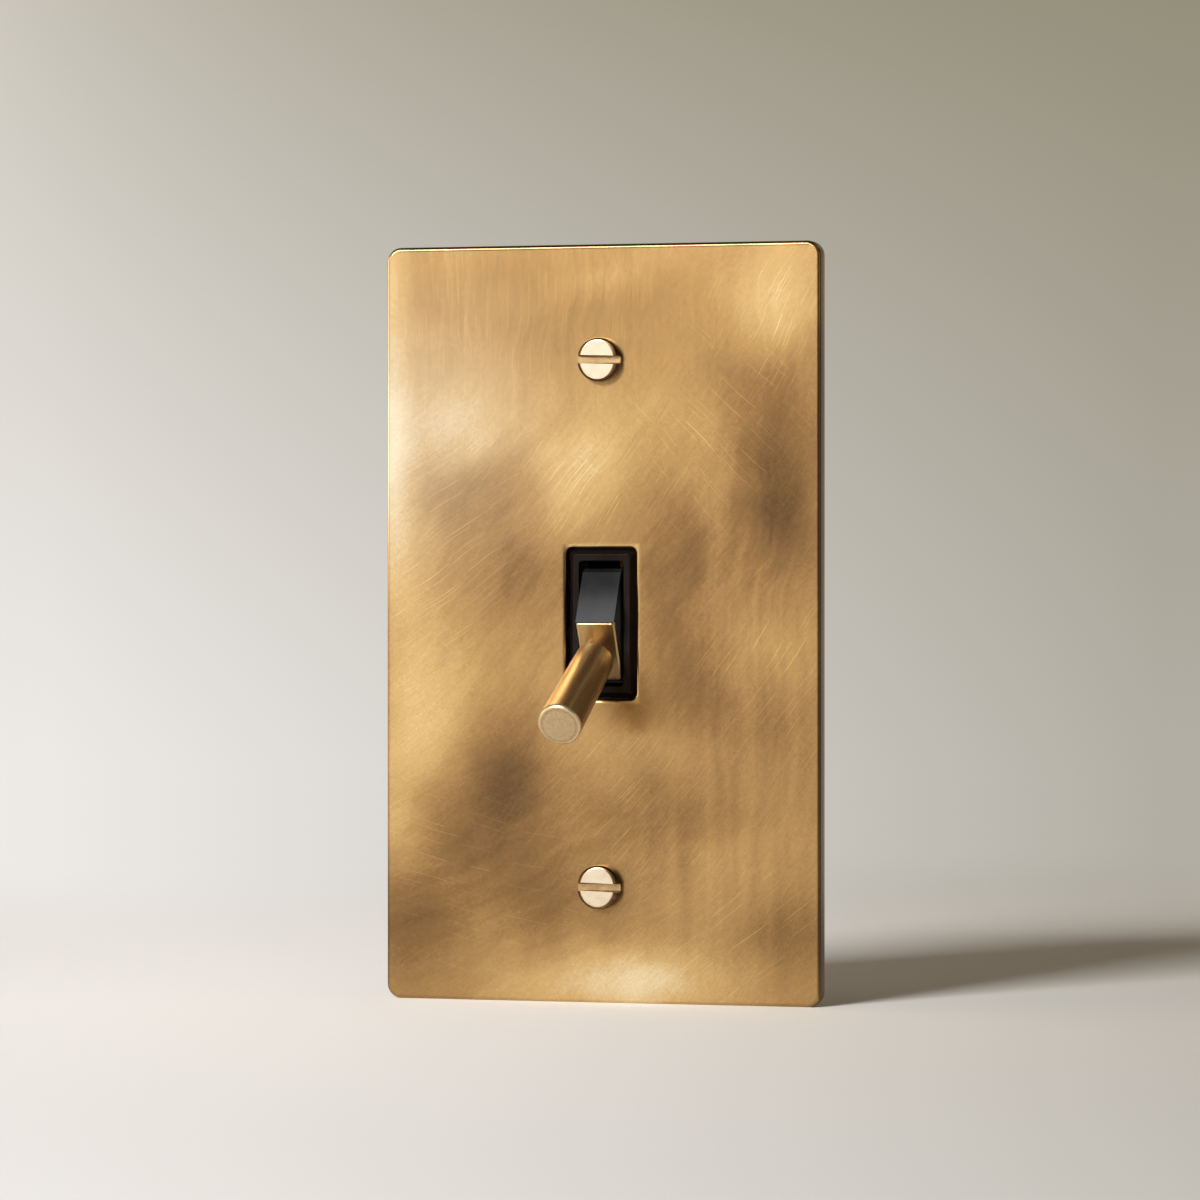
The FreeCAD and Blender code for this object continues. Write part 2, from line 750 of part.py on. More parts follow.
def moving_contacts():
    """Silver buttons riveted through the blade's two ends."""
    buttons = []
    for z in (contact_reach, -contact_reach):
        face = rod_y(button_diameter, fulcrum.y, fulcrum.y + button_height, 0, z)
        shank = rod_y(button_shank_diameter, blade_front_y, fulcrum.y, 0, z)
        upset = rod_y(
            button_upset_diameter, blade_front_y - button_upset_height, blade_front_y, 0, z
        )
        buttons.append(face.fuse([shank, upset]).removeSplitter())
    return turned_about_x(Part.makeCompound(buttons), fulcrum, contact_swing)


def toggle_spring():
    """Coil spring from the rocker's ball to the blade's dome, which it throws over centre."""
    ball = pivot + V(0, nose_reach * math.cos(throw), nose_reach * math.sin(throw))
    dome = fulcrum - V(
        0, blade_thickness * math.cos(swing), blade_thickness * math.sin(swing)
    )
    axis = (dome - ball).normalize()
    wire_radius = spring_wire / 2
    coil_radius = spring_outer_diameter / 2 - wire_radius
    reach = ball_radius + wire_radius + spring_seat_gap
    seat = math.sqrt(max(reach**2 - coil_radius**2, 0.0))
    length = (dome - ball).Length - 2 * seat
    pitch = length / max(round(length / spring_pitch), 1)
    helix = Part.makeHelix(pitch, length, coil_radius)
    start = V(coil_radius, 0, 0)
    along = V(0, 2 * math.pi * coil_radius, pitch)
    across = V(1, 0, 0)
    upright = along.cross(across).normalize()
    corners = []
    for step in range(spring_wire_sides + 1):
        angle = 2 * math.pi * step / spring_wire_sides
        corners.append(
            start + across * wire_radius * math.cos(angle) + upright * wire_radius * math.sin(angle)
        )
    section = Part.makePolygon(corners)
    spring = Part.Wire(helix).makePipeShell([section], True, True)
    turn = FreeCAD.Rotation(V(0, 0, 1), axis)
    spring.Placement = FreeCAD.Placement(ball + axis * seat, turn)
    return spring


nodes = {
    "face_plate": face_plate(),
    "plate_screws": at_both_screws(plate_screw),
    "captive_washers": at_both_screws(captive_washer),
    "mounting_strap": mounting_strap(),
    "strap_rivets": strap_rivets(),
    "earth_screw": earth_screw(),
    "front_cover": front_cover(),
    "rear_housing": rear_housing(),
    "common_terminal": common_terminal(),
    "upper_terminal": way_terminal(contact_reach),
    "lower_terminal": way_terminal(-contact_reach),
    "fixed_contacts": fixed_contacts(),
    "terminal_clamps": Part.makeCompound([clamp(s, z) for s, z in wire_screw_sites()]),
    "terminal_screws": Part.makeCompound([wire_screw(s, z) for s, z in wire_screw_sites()]),
    "rocker": rocker(),
    "dolly_cap": dolly_cap(),
    "dolly_lever": dolly_lever(),
    "lever_insert": lever_insert(),
    "pivot_pin": pivot_pin(),
    "toggle_spring": toggle_spring(),
    "contact_blade": contact_blade(),
    "moving_contacts": moving_contacts(),
}

os.makedirs("parts", exist_ok=True)
for name, shape in nodes.items():
    shape.exportStep(f"parts/{name}.step")
    print(name, len(shape.Solids), "solid", round(shape.Volume, 2), "mm3", shape.isValid())
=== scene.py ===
# %% [markdown]
# ## A brass dolly switch, dressed from its CAD frame
#
# The switch is an aged brass plate with two slotted screws, a black collar and a turned brass lever.
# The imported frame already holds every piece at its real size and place, so this lesson only dresses it:
# it sets the camera, models softer versions of the pieces that show, and gives each one its finish.
# Lengths are written in millimetres and multiplied by MM, because Blender works in metres.

# %% Load the frame
import json
import math
import bmesh
import bpy
from mathutils import Matrix, Vector


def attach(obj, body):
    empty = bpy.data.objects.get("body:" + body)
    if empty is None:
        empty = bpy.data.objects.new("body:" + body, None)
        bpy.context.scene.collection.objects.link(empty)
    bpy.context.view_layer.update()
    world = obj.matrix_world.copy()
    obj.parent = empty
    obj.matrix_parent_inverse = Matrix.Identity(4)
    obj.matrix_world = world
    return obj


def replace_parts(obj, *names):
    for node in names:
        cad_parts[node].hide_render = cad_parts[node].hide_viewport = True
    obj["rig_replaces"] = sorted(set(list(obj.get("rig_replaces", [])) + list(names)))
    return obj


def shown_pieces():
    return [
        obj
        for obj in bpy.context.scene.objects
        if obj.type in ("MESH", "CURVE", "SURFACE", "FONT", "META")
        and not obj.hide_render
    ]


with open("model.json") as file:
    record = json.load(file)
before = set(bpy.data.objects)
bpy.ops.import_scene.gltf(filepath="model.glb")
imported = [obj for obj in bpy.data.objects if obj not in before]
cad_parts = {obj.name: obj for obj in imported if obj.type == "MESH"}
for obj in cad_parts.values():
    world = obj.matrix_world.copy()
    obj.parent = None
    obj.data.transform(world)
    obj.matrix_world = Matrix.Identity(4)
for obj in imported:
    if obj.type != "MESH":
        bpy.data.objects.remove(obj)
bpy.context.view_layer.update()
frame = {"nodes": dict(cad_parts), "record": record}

MM = 0.001
nodes = frame["nodes"]
bpy.ops.object.select_all(action="DESELECT")

# %% [markdown]
# ## Camera
#
# The photograph was taken with a long lens from a little to the right of the switch, almost level with its
# middle. A long lens far away keeps the plate's edges nearly parallel. The values come from fitting the
# plate's four corners and the two screws, so they are fixed here before anything is dressed.

# %% Camera at the photograph's viewing angle
CAMERA_PLACE = Vector((243.6, -825.9, 6.7)) * MM
CAMERA_YAW = math.radians(16.5)
CAMERA_PITCH = math.radians(-0.2)
CAMERA_LENS = 162.8
CAMERA_SENSOR = 36.0

bpy.ops.object.camera_add(
    location=CAMERA_PLACE, rotation=(math.pi / 2 + CAMERA_PITCH, 0.0, CAMERA_YAW)
)
camera = bpy.context.object
camera.name = "studio_camera"
camera.data.lens = CAMERA_LENS
camera.data.sensor_width = CAMERA_SENSOR
camera.data.sensor_fit = "HORIZONTAL"
camera.data.clip_start = 10 * MM
bpy.context.scene.camera = camera
print("camera stands", round(CAMERA_PLACE.length / MM), "mm from the plate's middle")

# %% [markdown]
# ## Node helpers
#
# A procedural finish is a small graph. These helpers add a node, set its plain values and link its inputs in
# one call, so that each finish below reads as a list of steps.

# %% Helpers that add and feed nodes
def feed(tree, socket, value):
    """Links a value to an input if it is a socket, and otherwise sets the input to it."""
    if isinstance(value, bpy.types.NodeSocket):
        tree.links.new(value, socket)
    else:
        socket.default_value = value


def add_node(tree, kind, inputs=None, **settings):
    """Adds a node, sets its properties and feeds its inputs."""
    node = tree.nodes.new(kind)
    for key, value in settings.items():
        setattr(node, key, value)
    for key, value in (inputs or {}).items():
        feed(tree, node.inputs[key], value)
    return node


def split(tree, place):
    """The X, Y and Z of a place, as a node's outputs."""
    return add_node(tree, "ShaderNodeSeparateXYZ", {0: place}).outputs


print("helpers that add nodes are ready")

# %% Helpers for arithmetic
def math_node(tree, operation, first, second=0.0, clamp=False):
    """One step of arithmetic; returns its output socket."""
    node = add_node(tree, "ShaderNodeMath", {0: first, 1: second}, operation=operation, use_clamp=clamp)
    return node.outputs[0]


def times(tree, first, second):
    """The product of two values."""
    return math_node(tree, "MULTIPLY", first, second)


def add_up(tree, *values):
    """The sum of all the values."""
    total = values[0]
    for value in values[1:]:
        total = math_node(tree, "ADD", total, value)
    return total


def size_of(tree, value):
    """A value without its sign."""
    return math_node(tree, "ABSOLUTE", value)


def vector_node(tree, operation, inputs, output="Vector"):
    """One step of arithmetic on vectors; returns an output socket."""
    return add_node(tree, "ShaderNodeVectorMath", inputs, operation=operation).outputs[output]


def remap(tree, value, low, high, new_low, new_high, ends="SMOOTHSTEP"):
    """Moves a range of values to another, with soft ends unless the ends are LINEAR."""
    node = add_node(
        tree,
        "ShaderNodeMapRange",
        {"Value": value, 1: low, 2: high, 3: new_low, 4: new_high},
        interpolation_type=ends,
    )
    return node.outputs["Result"]


def blend(tree, factor, first, second):
    """A value between two others."""
    return add_node(tree, "ShaderNodeMix", {0: factor, 2: first, 3: second}).outputs[0]


print("helpers for arithmetic are ready")

# %% [markdown]
# ## Effects that several finishes share
#
# Old brass is never one colour. Handling and polish leave soft clouds of brown and gold, cleaning leaves
# curved strokes, and the mill leaves hairlines. Each of these is a node group that takes a place and a few
# settings and gives one mask, so the plate, the screws, the cap and the lever can use it at their own scale.

# %% Helpers for node groups
def new_group(name, settings):
    """An empty group that takes a place and named settings; returns the tree, its inputs and its mask."""
    tree = bpy.data.node_groups.new(name, "ShaderNodeTree")
    tree.interface.new_socket("Place", in_out="INPUT", socket_type="NodeSocketVector")
    for setting, default in settings.items():
        kind = "NodeSocketVector" if isinstance(default, tuple) else "NodeSocketFloat"
        tree.interface.new_socket(setting, in_out="INPUT", socket_type=kind).default_value = default
    tree.interface.new_socket("Mask", in_out="OUTPUT", socket_type="NodeSocketFloat")
    given = tree.nodes.new("NodeGroupInput").outputs
    return tree, given, tree.nodes.new("NodeGroupOutput").inputs["Mask"]


def use_group(tree, group, place, settings):
    """Places a node group in a tree with its own settings; returns its mask."""
    node = add_node(tree, "ShaderNodeGroup", node_tree=group)
    for key, value in {"Place": place, **settings}.items():
        feed(tree, node.inputs[key], value)
    return node.outputs["Mask"]


def noise(tree, place, scale, detail, roughness=0.5, **settings):
    """Plain noise from 0 to 1."""
    inputs = {"Vector": place, "Scale": scale, "Detail": detail, "Roughness": roughness}
    return add_node(tree, "ShaderNodeTexNoise", inputs, **settings).outputs["Fac"]


def centred(tree, mask):
    """A mask moved down, so that its middle is 0."""
    return math_node(tree, "SUBTRACT", mask, 0.5)


def swayed(tree, place, scale, amount, detail=1.0):
    """Pushes coordinates about by a slow noise, so that what is drawn on them drifts."""
    sway = add_node(tree, "ShaderNodeTexNoise", {"Vector": place, "Scale": scale, "Detail": detail})
    aside = vector_node(tree, "SUBTRACT", {0: sway.outputs["Color"], 1: (0.5, 0.5, 0.5)})
    pushed = vector_node(tree, "SCALE", {0: aside, "Scale": amount})
    return vector_node(tree, "ADD", {0: place, 1: pushed})


print("helpers for groups are ready")

# %% Clouds of patina
def make_cloud_group():
    """Soft, drifting clouds: noise whose coordinates are pushed about by another noise."""
    tree, given, mask = new_group("patina_cloud", {"Size": 20.0, "Drift": 8.0, "Detail": 3.0})
    scale = math_node(tree, "DIVIDE", 1.0, given["Size"])
    moved = swayed(tree, given["Place"], scale, given["Drift"])
    tree.links.new(noise(tree, moved, scale, given["Detail"]), mask)
    return tree


patina_cloud = make_cloud_group()
print("group", patina_cloud.name)

# %% Hairlines from the mill
HAIRLINE_ROUGHNESS = 0.65


def make_hairline_group():
    """Brushed lines: noise that is stretched far along one direction."""
    tree, given, mask = new_group("mill_hairlines", {"Stretch": (8.0, 8.0, 0.1), "Detail": 3.0})
    stretched = vector_node(tree, "MULTIPLY", {0: given["Place"], 1: given["Stretch"]})
    tree.links.new(noise(tree, stretched, 1.0, given["Detail"], HAIRLINE_ROUGHNESS), mask)
    return tree


mill_hairlines = make_hairline_group()
print("group", mill_hairlines.name)

# %% Marks of a hand brush
BEND_SCALE = 0.05
BRUSH_DETAIL, BRUSH_ROUGHNESS = 2.0, 0.6


def combed(tree, given, detail=1.0):
    """A place measured along and across one leaning, bent direction, in steps of length and spacing."""
    bent = swayed(tree, given["Place"], BEND_SCALE, given["Bend"], detail)
    turned = add_node(
        tree, "ShaderNodeVectorRotate", {"Vector": bent, "Angle": given["Turn"]}, rotation_type="Y_AXIS"
    )
    parts = split(tree, turned.outputs[0])
    along = math_node(tree, "DIVIDE", parts["X"], given["Length"])
    across = math_node(tree, "DIVIDE", parts["Z"], given["Spacing"])
    return add_node(tree, "ShaderNodeCombineXYZ", {"X": along, "Y": across}).outputs[0]


def make_brush_group():
    """Dense fine lines that lean one way and bend a little, as a hand brush leaves them."""
    tree, given, mask = new_group("brush_marks", {"Turn": 0.0, "Bend": 8.0, "Length": 4.0, "Spacing": 0.4})
    flat = combed(tree, given, BRUSH_DETAIL)
    lines = noise(tree, flat, 1.0, BRUSH_DETAIL, BRUSH_ROUGHNESS, noise_dimensions="2D")
    tree.links.new(lines, mask)
    return tree


brush_marks = make_brush_group()
print("group", brush_marks.name)

# %% Strokes left by polishing and cleaning
STROKE_FADE = (0.2, 0.5)


def make_stroke_group():
    """Fine, slightly curved scratches: long thin cells whose middles are drawn as strokes."""
    settings = {"Turn": 0.0, "Bend": 2.0, "Length": 6.0, "Spacing": 0.8, "Width": 0.1}
    tree, given, mask = new_group("polish_strokes", settings)
    flat = combed(tree, given)
    cells = add_node(
        tree,
        "ShaderNodeTexVoronoi",
        {"Vector": flat, "Scale": 1.0, "Randomness": 1.0},
        voronoi_dimensions="2D",
        feature="F1",
    ).outputs
    gap = split(tree, vector_node(tree, "SUBTRACT", {0: flat, 1: cells["Position"]}))
    side = times(tree, size_of(tree, gap["Y"]), given["Spacing"])
    line = math_node(tree, "SUBTRACT", 1.0, math_node(tree, "DIVIDE", side, given["Width"]), clamp=True)
    end = remap(tree, size_of(tree, gap["X"]), *STROKE_FADE, 1.0, 0.0)
    chance = add_node(tree, "ShaderNodeSeparateColor", {0: cells["Color"]}).outputs[0]
    strength = math_node(tree, "POWER", chance, 2.0)
    tree.links.new(times(tree, times(tree, line, end), strength), mask)
    return tree


polish_strokes = make_stroke_group()
print("group", polish_strokes.name)

# %% One soft patch of paler or darker tone, in the metal or as painted light
def make_patch_group():
    """An oval mask with soft edges, turned about the plate's normal; the place is in millimetres."""
    settings = {
        "Across": 0.0,
        "Up": 0.0,
        "Half Width": 10.0,
        "Half Height": 10.0,
        "Turn": 0.0,
        "Strength": 0.2,
    }
    tree, given, mask = new_group("soft_patch", settings)
    centre = add_node(tree, "ShaderNodeCombineXYZ", {"X": given["Across"], "Z": given["Up"]}).outputs[0]
    turned = add_node(
        tree,
        "ShaderNodeVectorRotate",
        {"Vector": given["Place"], "Center": centre, "Angle": given["Turn"]},
        rotation_type="Y_AXIS",
    )
    parts = split(tree, vector_node(tree, "SUBTRACT", {0: turned.outputs[0], 1: centre}))
    wide = math_node(tree, "DIVIDE", parts["X"], given["Half Width"])
    high = math_node(tree, "DIVIDE", parts["Z"], given["Half Height"])
    square = add_up(tree, times(tree, wide, wide), times(tree, high, high))
    bell = math_node(tree, "EXPONENT", times(tree, square, -1.0))
    tree.links.new(times(tree, bell, given["Strength"]), mask)
    return tree


soft_patch = make_patch_group()
print("group", soft_patch.name)

# %% [markdown]
# ## Aged brass for the plate
#
# The plate's colour is one tone that runs from brown to pale gold. Patches set where the eye sees light and
# dark metal, and a slow noise bends their edges. Wide smears, brush marks, hairlines and fine strokes ride on
# top, each where polishing left it. The same tone also drives roughness, because brown patina is duller than
# rubbed brass.

# %% Helpers that start a finish
def millimetre_coordinates(tree):
    """Object coordinates in millimetres."""
    place = tree.nodes.new("ShaderNodeTexCoord").outputs["Object"]
    return vector_node(tree, "SCALE", {0: place, "Scale": 1 / MM})


def new_finish(name, **shader_values):
    """A material with only a Principled shader; returns the material, its tree and the shader."""
    material = bpy.data.materials.new(name)
    material.use_nodes = True
    tree = material.node_tree
    shader = tree.nodes["Principled BSDF"]
    for key, value in shader_values.items():
        shader.inputs[key.replace("_", " ")].default_value = value
    return material, tree, shader


def add_bump(tree, shader, height, strength, distance=0.02):
    """Feeds a height to the shader's normal; the distance is in millimetres."""
    bump = add_node(
        tree, "ShaderNodeBump", {"Height": height, "Strength": strength, "Distance": distance * MM}
    )
    tree.links.new(bump.outputs["Normal"], shader.inputs["Normal"])


def colour_ramp(tree, value, stops):
    """A colour ramp through (position, colour) stops; returns its colour socket."""
    node = add_node(tree, "ShaderNodeValToRGB", {"Fac": value})
    band = node.color_ramp
    band.interpolation = "LINEAR"
    while len(band.elements) < len(stops):
        band.elements.new(1.0)
    for element, (position, colour) in zip(band.elements, stops):
        element.position = position
        element.color = (*colour, 1.0)
    return node.outputs["Color"]


finish = {}
print("helpers for finishes are ready")

# %% Where the plate is pale and where it is brown
# Each patch: how far across and up from the middle, half width, half height, turn in degrees, strength.
# The first rows are pale metal and the others are brown, both roughly from the top down, except two rows of
# painted light and painted shadow, marked below.
PLATE_PATCHES = [
    (0, 54, 14, 3, 15, 0.12),
    (28, 51, 8, 11, -25, 0.28),
    (-28, 38, 18, 18, 0, 0.18),
    (12, 36, 8, 12, 0, 0.06),
    (-22, 31, 14, 6, 0, 0.18),
    (-3, 24, 7, 11, -35, 0.28),
    (-34, 18, 6, 16, 0, 0.20),
    (18, 20, 4, 9, 0, 0.12),
    (-30, -14, 10, 17, 0, 0.27),
    (27, -4, 8, 6, 0, 0.18),
    # Partly a gold band, partly painted light over the shadow that the lever casts here.
    (6, -21, 8, 7, 0, 0.14),
    (-34, -32, 5, 10, 0, 0.16),
    (20, -40, 11, 14, 0, 0.12),
    (3, -57, 19, 6, 0, 0.45),
    (-12, 50, 20, 8, 0, -0.14),
    (19, 42, 6, 6, 0, -0.12),
    (29, 33, 9, 11, 0, -0.28),
    (-23, 22, 8, 6, 0, -0.12),
    (12, 9, 7, 12, 0, -0.26),
    (29, 17, 7, 11, 0, -0.36),
    (-13, 10, 10, 10, 15, -0.22),
    # Painted shadow of the lever.
    (14, -9, 6, 9, 0, -0.18),
    (24, -14, 18, 30, 0, -0.12),
    (-17, -23, 8, 9, 0, -0.32),
    (12, -31, 10, 7, 0, -0.20),
    (-18, -35, 15, 12, 0, -0.28),
    (-6, -45, 13, 8, 0, -0.12),
    (-33, -48, 8, 8, 0, -0.26),
    (30, -48, 9, 8, 0, -0.20),
]
PATCH_SWAY, PATCH_DRIFT, PATCH_DETAIL = 0.10, 6.0, 3.0
PLATE_CLOUDS = {"Size": 12.0, "Drift": 5.0, "Detail": 1.0}
PLATE_CLOUD_TONES = (0.42, 0.50)
# Noise seldom leaves the middle half of its range, so clouds are spread from there.
CLOUD_RANGE = (0.25, 0.75)


def patch(tree, place, across, up, half_width, half_height, turn=0.0, strength=1.0):
    """One soft patch: its middle across and up, half width, half height, turn in degrees and strength."""
    settings = {
        "Across": across,
        "Up": up,
        "Half Width": half_width,
        "Half Height": half_height,
        "Turn": math.radians(turn),
        "Strength": strength,
    }
    return use_group(tree, soft_patch, place, settings)


def plate_tone(tree, place):
    """The plate's light and dark metal, with one patch of painted light and one of painted shadow: clouds,
    then the placed patches.
    """
    cloud = use_group(tree, patina_cloud, place, PLATE_CLOUDS)
    tone = remap(tree, cloud, *CLOUD_RANGE, *PLATE_CLOUD_TONES)
    drifted = swayed(tree, place, PATCH_SWAY, PATCH_DRIFT, PATCH_DETAIL)
    return add_up(tree, tone, *(patch(tree, drifted, *row) for row in PLATE_PATCHES))


print(len(PLATE_PATCHES), "patches on the plate")

# %% Marks that polishing left on the plate
# Each layer of wide smears: turn in degrees, length, spacing and strength, then the middle, half width and
# half height of the place where the smears lie.
PLATE_SMEARS = [
    ((50, 16.0, 2.2, 0.22), (-6, 8, 30, 30)),
    ((90, 22.0, 1.8, 0.18), (-12, 48, 36, 16)),
    ((86, 20.0, 2.2, 0.26), (25, 6, 14, 44)),
    ((20, 14.0, 2.2, 0.22), (-14, -42, 28, 18)),
]
# Each layer of strokes: turn in degrees, length, spacing, width and strength, then the middle, half width
# and half height of the place where the strokes lie.
PLATE_STROKES = [
    ((33, 10.0, 0.70, 0.08, 0.34), (-24, 12, 13, 14)),
    ((56, 9.0, 0.75, 0.08, 0.34), (-1, 21, 14, 12)),
    ((62, 7.0, 0.80, 0.08, 0.32), (28, 46, 10, 14)),
    ((-46, 10.0, 0.90, 0.07, 0.32), (19, 31, 16, 17)),
    ((52, 8.0, 0.90, 0.08, 0.30), (26, -6, 13, 15)),
    ((49, 8.0, 0.65, 0.08, 0.30), (2, -27, 15, 13)),
    ((37, 9.0, 1.10, 0.08, 0.30), (22, -48, 16, 12)),
    ((-14, 9.0, 1.20, 0.07, 0.26), (-20, -40, 20, 16)),
    ((90, 6.0, 0.60, 0.06, 0.24), (-14, 50, 34, 16)),
]
SMEAR_BEND, STROKE_BEND, BRUSH_BEND = 8.0, 4.0, 4.0
# The brush leans less near the left edge than in the rest.
BRUSH_TURNS, BRUSH_TURN_SPAN = (36, 54), (-30.0, 0.0)
BRUSH_LENGTH, BRUSH_SPACING = 6.0, 0.26


def leaning_marks(tree, place, turn, length, spacing, bend):
    """Brush marks that lean by a turn in degrees."""
    settings = {"Turn": math.radians(turn), "Bend": bend, "Length": length, "Spacing": spacing}
    return use_group(tree, brush_marks, place, settings)


def plate_smears(tree, place):
    """Wide, faint smears along the polishing directions."""
    total = 0.0
    for (turn, length, spacing, strength), where in PLATE_SMEARS:
        marks = centred(tree, leaning_marks(tree, place, turn, length, spacing, SMEAR_BEND))
        total = add_up(tree, total, times(tree, marks, patch(tree, place, *where, strength=strength)))
    return total


def plate_strokes(tree, place):
    """Fine bright scratches, in a direction of their own in each place."""
    total = 0.0
    for (turn, length, spacing, width, strength), where in PLATE_STROKES:
        settings = {
            "Turn": math.radians(turn),
            "Bend": STROKE_BEND,
            "Length": length,
            "Spacing": spacing,
            "Width": width,
        }
        strokes = use_group(tree, polish_strokes, place, settings)
        total = add_up(tree, total, times(tree, strokes, patch(tree, place, *where, strength=strength)))
    return total


def plate_brushing(tree, place, across):
    """Dense brush marks, whose lean changes across the plate."""
    first, second = (
        leaning_marks(tree, place, turn, BRUSH_LENGTH, BRUSH_SPACING, BRUSH_BEND) for turn in BRUSH_TURNS
    )
    return centred(tree, blend(tree, remap(tree, across, *BRUSH_TURN_SPAN, 0.0, 1.0), first, second))


print(len(PLATE_SMEARS), "layers of smears and", len(PLATE_STROKES), "of strokes")

# %% Painted highlights and shade on the edges of the plate
PLATE_WIDTH, PLATE_HEIGHT, PLATE_FRONT = 71.5, 120.0, -3.0
APERTURE_WIDTH, APERTURE_HEIGHT = 11.6, 24.1
# The rim of the aperture: how far from its edge, and its tone on the left side and on the others, painted
# shade on the left and a painted highlight on the others.
RIM_REACH, RIM_LEFT_SPAN, RIM_LIGHT_AND_SHADE_TONES = (0.15, 0.85), (-6.2, -5.0), (-0.20, 0.34)
# Painted shade along the top edge, from where it starts to where it is full.
TOP_EDGE_START, TOP_EDGE_FULL, TOP_EDGE_SHADE_TONE = 0.85, 0.55, -0.48
# The painted highlight along the left edge fades downwards over a span of heights, and so does the edge's own
# tone.
LEFT_HIGHLIGHT_WIDTH, LEFT_HIGHLIGHT_TONE, LEFT_HIGHLIGHT_SPAN = 6.0, 0.24, (-6.0, 26.0)
LEFT_EDGE_FULL, LEFT_EDGE_END, LEFT_EDGE_SPAN, LEFT_EDGE_TONES = 0.15, 0.55, (-4.0, 24.0), (-0.30, 0.05)
# The right face gets painted shade in its front part only.
RIGHT_FACE_START, RIGHT_FACE_FULL, RIGHT_FACE_SPAN, RIGHT_FACE_SHADE_TONE = 0.45, 0.20, (-1.3, -0.9), -0.40


def painted_edge_light(tree, parts):
    """Painted highlights on the aperture's rim and the upper left edge, and painted shade on the rim's left
    side, the top edge and the right face's front; the left edge is darker low down.
    """
    right, top = PLATE_WIDTH / 2, PLATE_HEIGHT / 2
    wide = math_node(tree, "SUBTRACT", size_of(tree, parts["X"]), APERTURE_WIDTH / 2)
    high = math_node(tree, "SUBTRACT", size_of(tree, parts["Z"]), APERTURE_HEIGHT / 2)
    near = remap(tree, math_node(tree, "MAXIMUM", wide, high), *RIM_REACH, 1.0, 0.0)
    rim = times(tree, near, remap(tree, parts["X"], *RIM_LEFT_SPAN, *RIM_LIGHT_AND_SHADE_TONES))
    top_edge_shade = remap(tree, parts["Z"], top - TOP_EDGE_START, top - TOP_EDGE_FULL, 0.0, TOP_EDGE_SHADE_TONE)
    glow = remap(tree, parts["X"], -right, LEFT_HIGHLIGHT_WIDTH - right, LEFT_HIGHLIGHT_TONE, 0.0)
    glow = times(tree, glow, remap(tree, parts["Z"], *LEFT_HIGHLIGHT_SPAN, 0.0, 1.0))
    left_edge = remap(tree, parts["X"], LEFT_EDGE_FULL - right, LEFT_EDGE_END - right, 1.0, 0.0)
    left_edge = times(tree, left_edge, remap(tree, parts["Z"], *LEFT_EDGE_SPAN, *LEFT_EDGE_TONES))
    right_face_shade = remap(tree, parts["X"], right - RIGHT_FACE_START, right - RIGHT_FACE_FULL, 0.0, 1.0)
    right_face_shade = times(tree, right_face_shade, remap(tree, parts["Y"], *RIGHT_FACE_SPAN, RIGHT_FACE_SHADE_TONE, 0.0))
    return add_up(tree, rim, top_edge_shade, glow, left_edge, right_face_shade)


print("edges of a plate of", PLATE_WIDTH, "by", PLATE_HEIGHT, "mm")

# %% Finish of the plate
PLATE_TONES = [
    (0.00, (0.120, 0.068, 0.031)),
    (0.25, (0.250, 0.142, 0.056)),
    (0.50, (0.430, 0.265, 0.105)),
    (0.72, (0.630, 0.430, 0.185)),
    (1.00, (0.900, 0.755, 0.500)),
]
# Hairlines show in the upper left corner, which the brush hardly reached. Bands show at the lower right.
# The left side, a little above the middle, is less saturated, a painted sheen. Each place: middle, half
# width, half height.
HAIRLINE_PLACE, HAIRLINES = (-18, 52, 30, 20), {"Stretch": (5.0, 1.0, 0.06)}
BAND_PLACE, BAND_ELSEWHERE, BANDS = (18, -36, 14, 18), 0.25, {"Stretch": (0.3, 1.0, 0.02), "Detail": 1.0}
SHEEN_PLACE, SHEEN_DESATURATION = (-30, 31, 18, 20), 0.22
UNBRUSHED = 0.85
GRAIN_SCALE, GRAIN_DETAIL = 2.2, 3.0
PLATE_ROUGHNESS = (0.255, 0.225)


def aged_brass():
    """Aged plate brass: placed patches, clouds, smears, brush marks, hairlines and polishing strokes."""
    material, tree, shader = new_finish("aged_brass", Metallic=1.0)
    place = millimetre_coordinates(tree)
    parts = split(tree, place)
    tone = plate_tone(tree, place)
    corner = patch(tree, place, *HAIRLINE_PLACE)
    lines = times(tree, centred(tree, use_group(tree, mill_hairlines, place, HAIRLINES)), corner)
    streaked = add_up(tree, patch(tree, place, *BAND_PLACE), BAND_ELSEWHERE)
    bands = times(tree, centred(tree, use_group(tree, mill_hairlines, place, BANDS)), streaked)
    below = math_node(tree, "SUBTRACT", 1.0, times(tree, corner, UNBRUSHED))
    brushed = times(tree, plate_brushing(tree, place, parts["X"]), below)
    for marks, amount in (
        (plate_strokes(tree, place), 1.0),
        (plate_smears(tree, place), 1.0),
        (lines, 0.14),
        (bands, 0.24),
        (brushed, 0.12),
        (centred(tree, noise(tree, place, GRAIN_SCALE, GRAIN_DETAIL)), 0.16),
        # Painted highlights and shade on the edges and the aperture's rim.
        (painted_edge_light(tree, parts), 1.0),
    ):
        tone = add_up(tree, tone, times(tree, marks, amount))
    # A painted sheen: the colour is less saturated on the left, a little above the middle.
    sheen_saturation = math_node(tree, "SUBTRACT", 1.0, patch(tree, place, *SHEEN_PLACE, strength=SHEEN_DESATURATION))
    colour = add_node(
        tree,
        "ShaderNodeHueSaturation",
        {"Saturation": sheen_saturation, "Color": colour_ramp(tree, tone, PLATE_TONES)},
    )
    tree.links.new(colour.outputs["Color"], shader.inputs["Base Color"])
    tree.links.new(remap(tree, tone, 0.1, 1.0, *PLATE_ROUGHNESS), shader.inputs["Roughness"])
    add_bump(tree, shader, brushed, 0.10, 0.01)
    return material


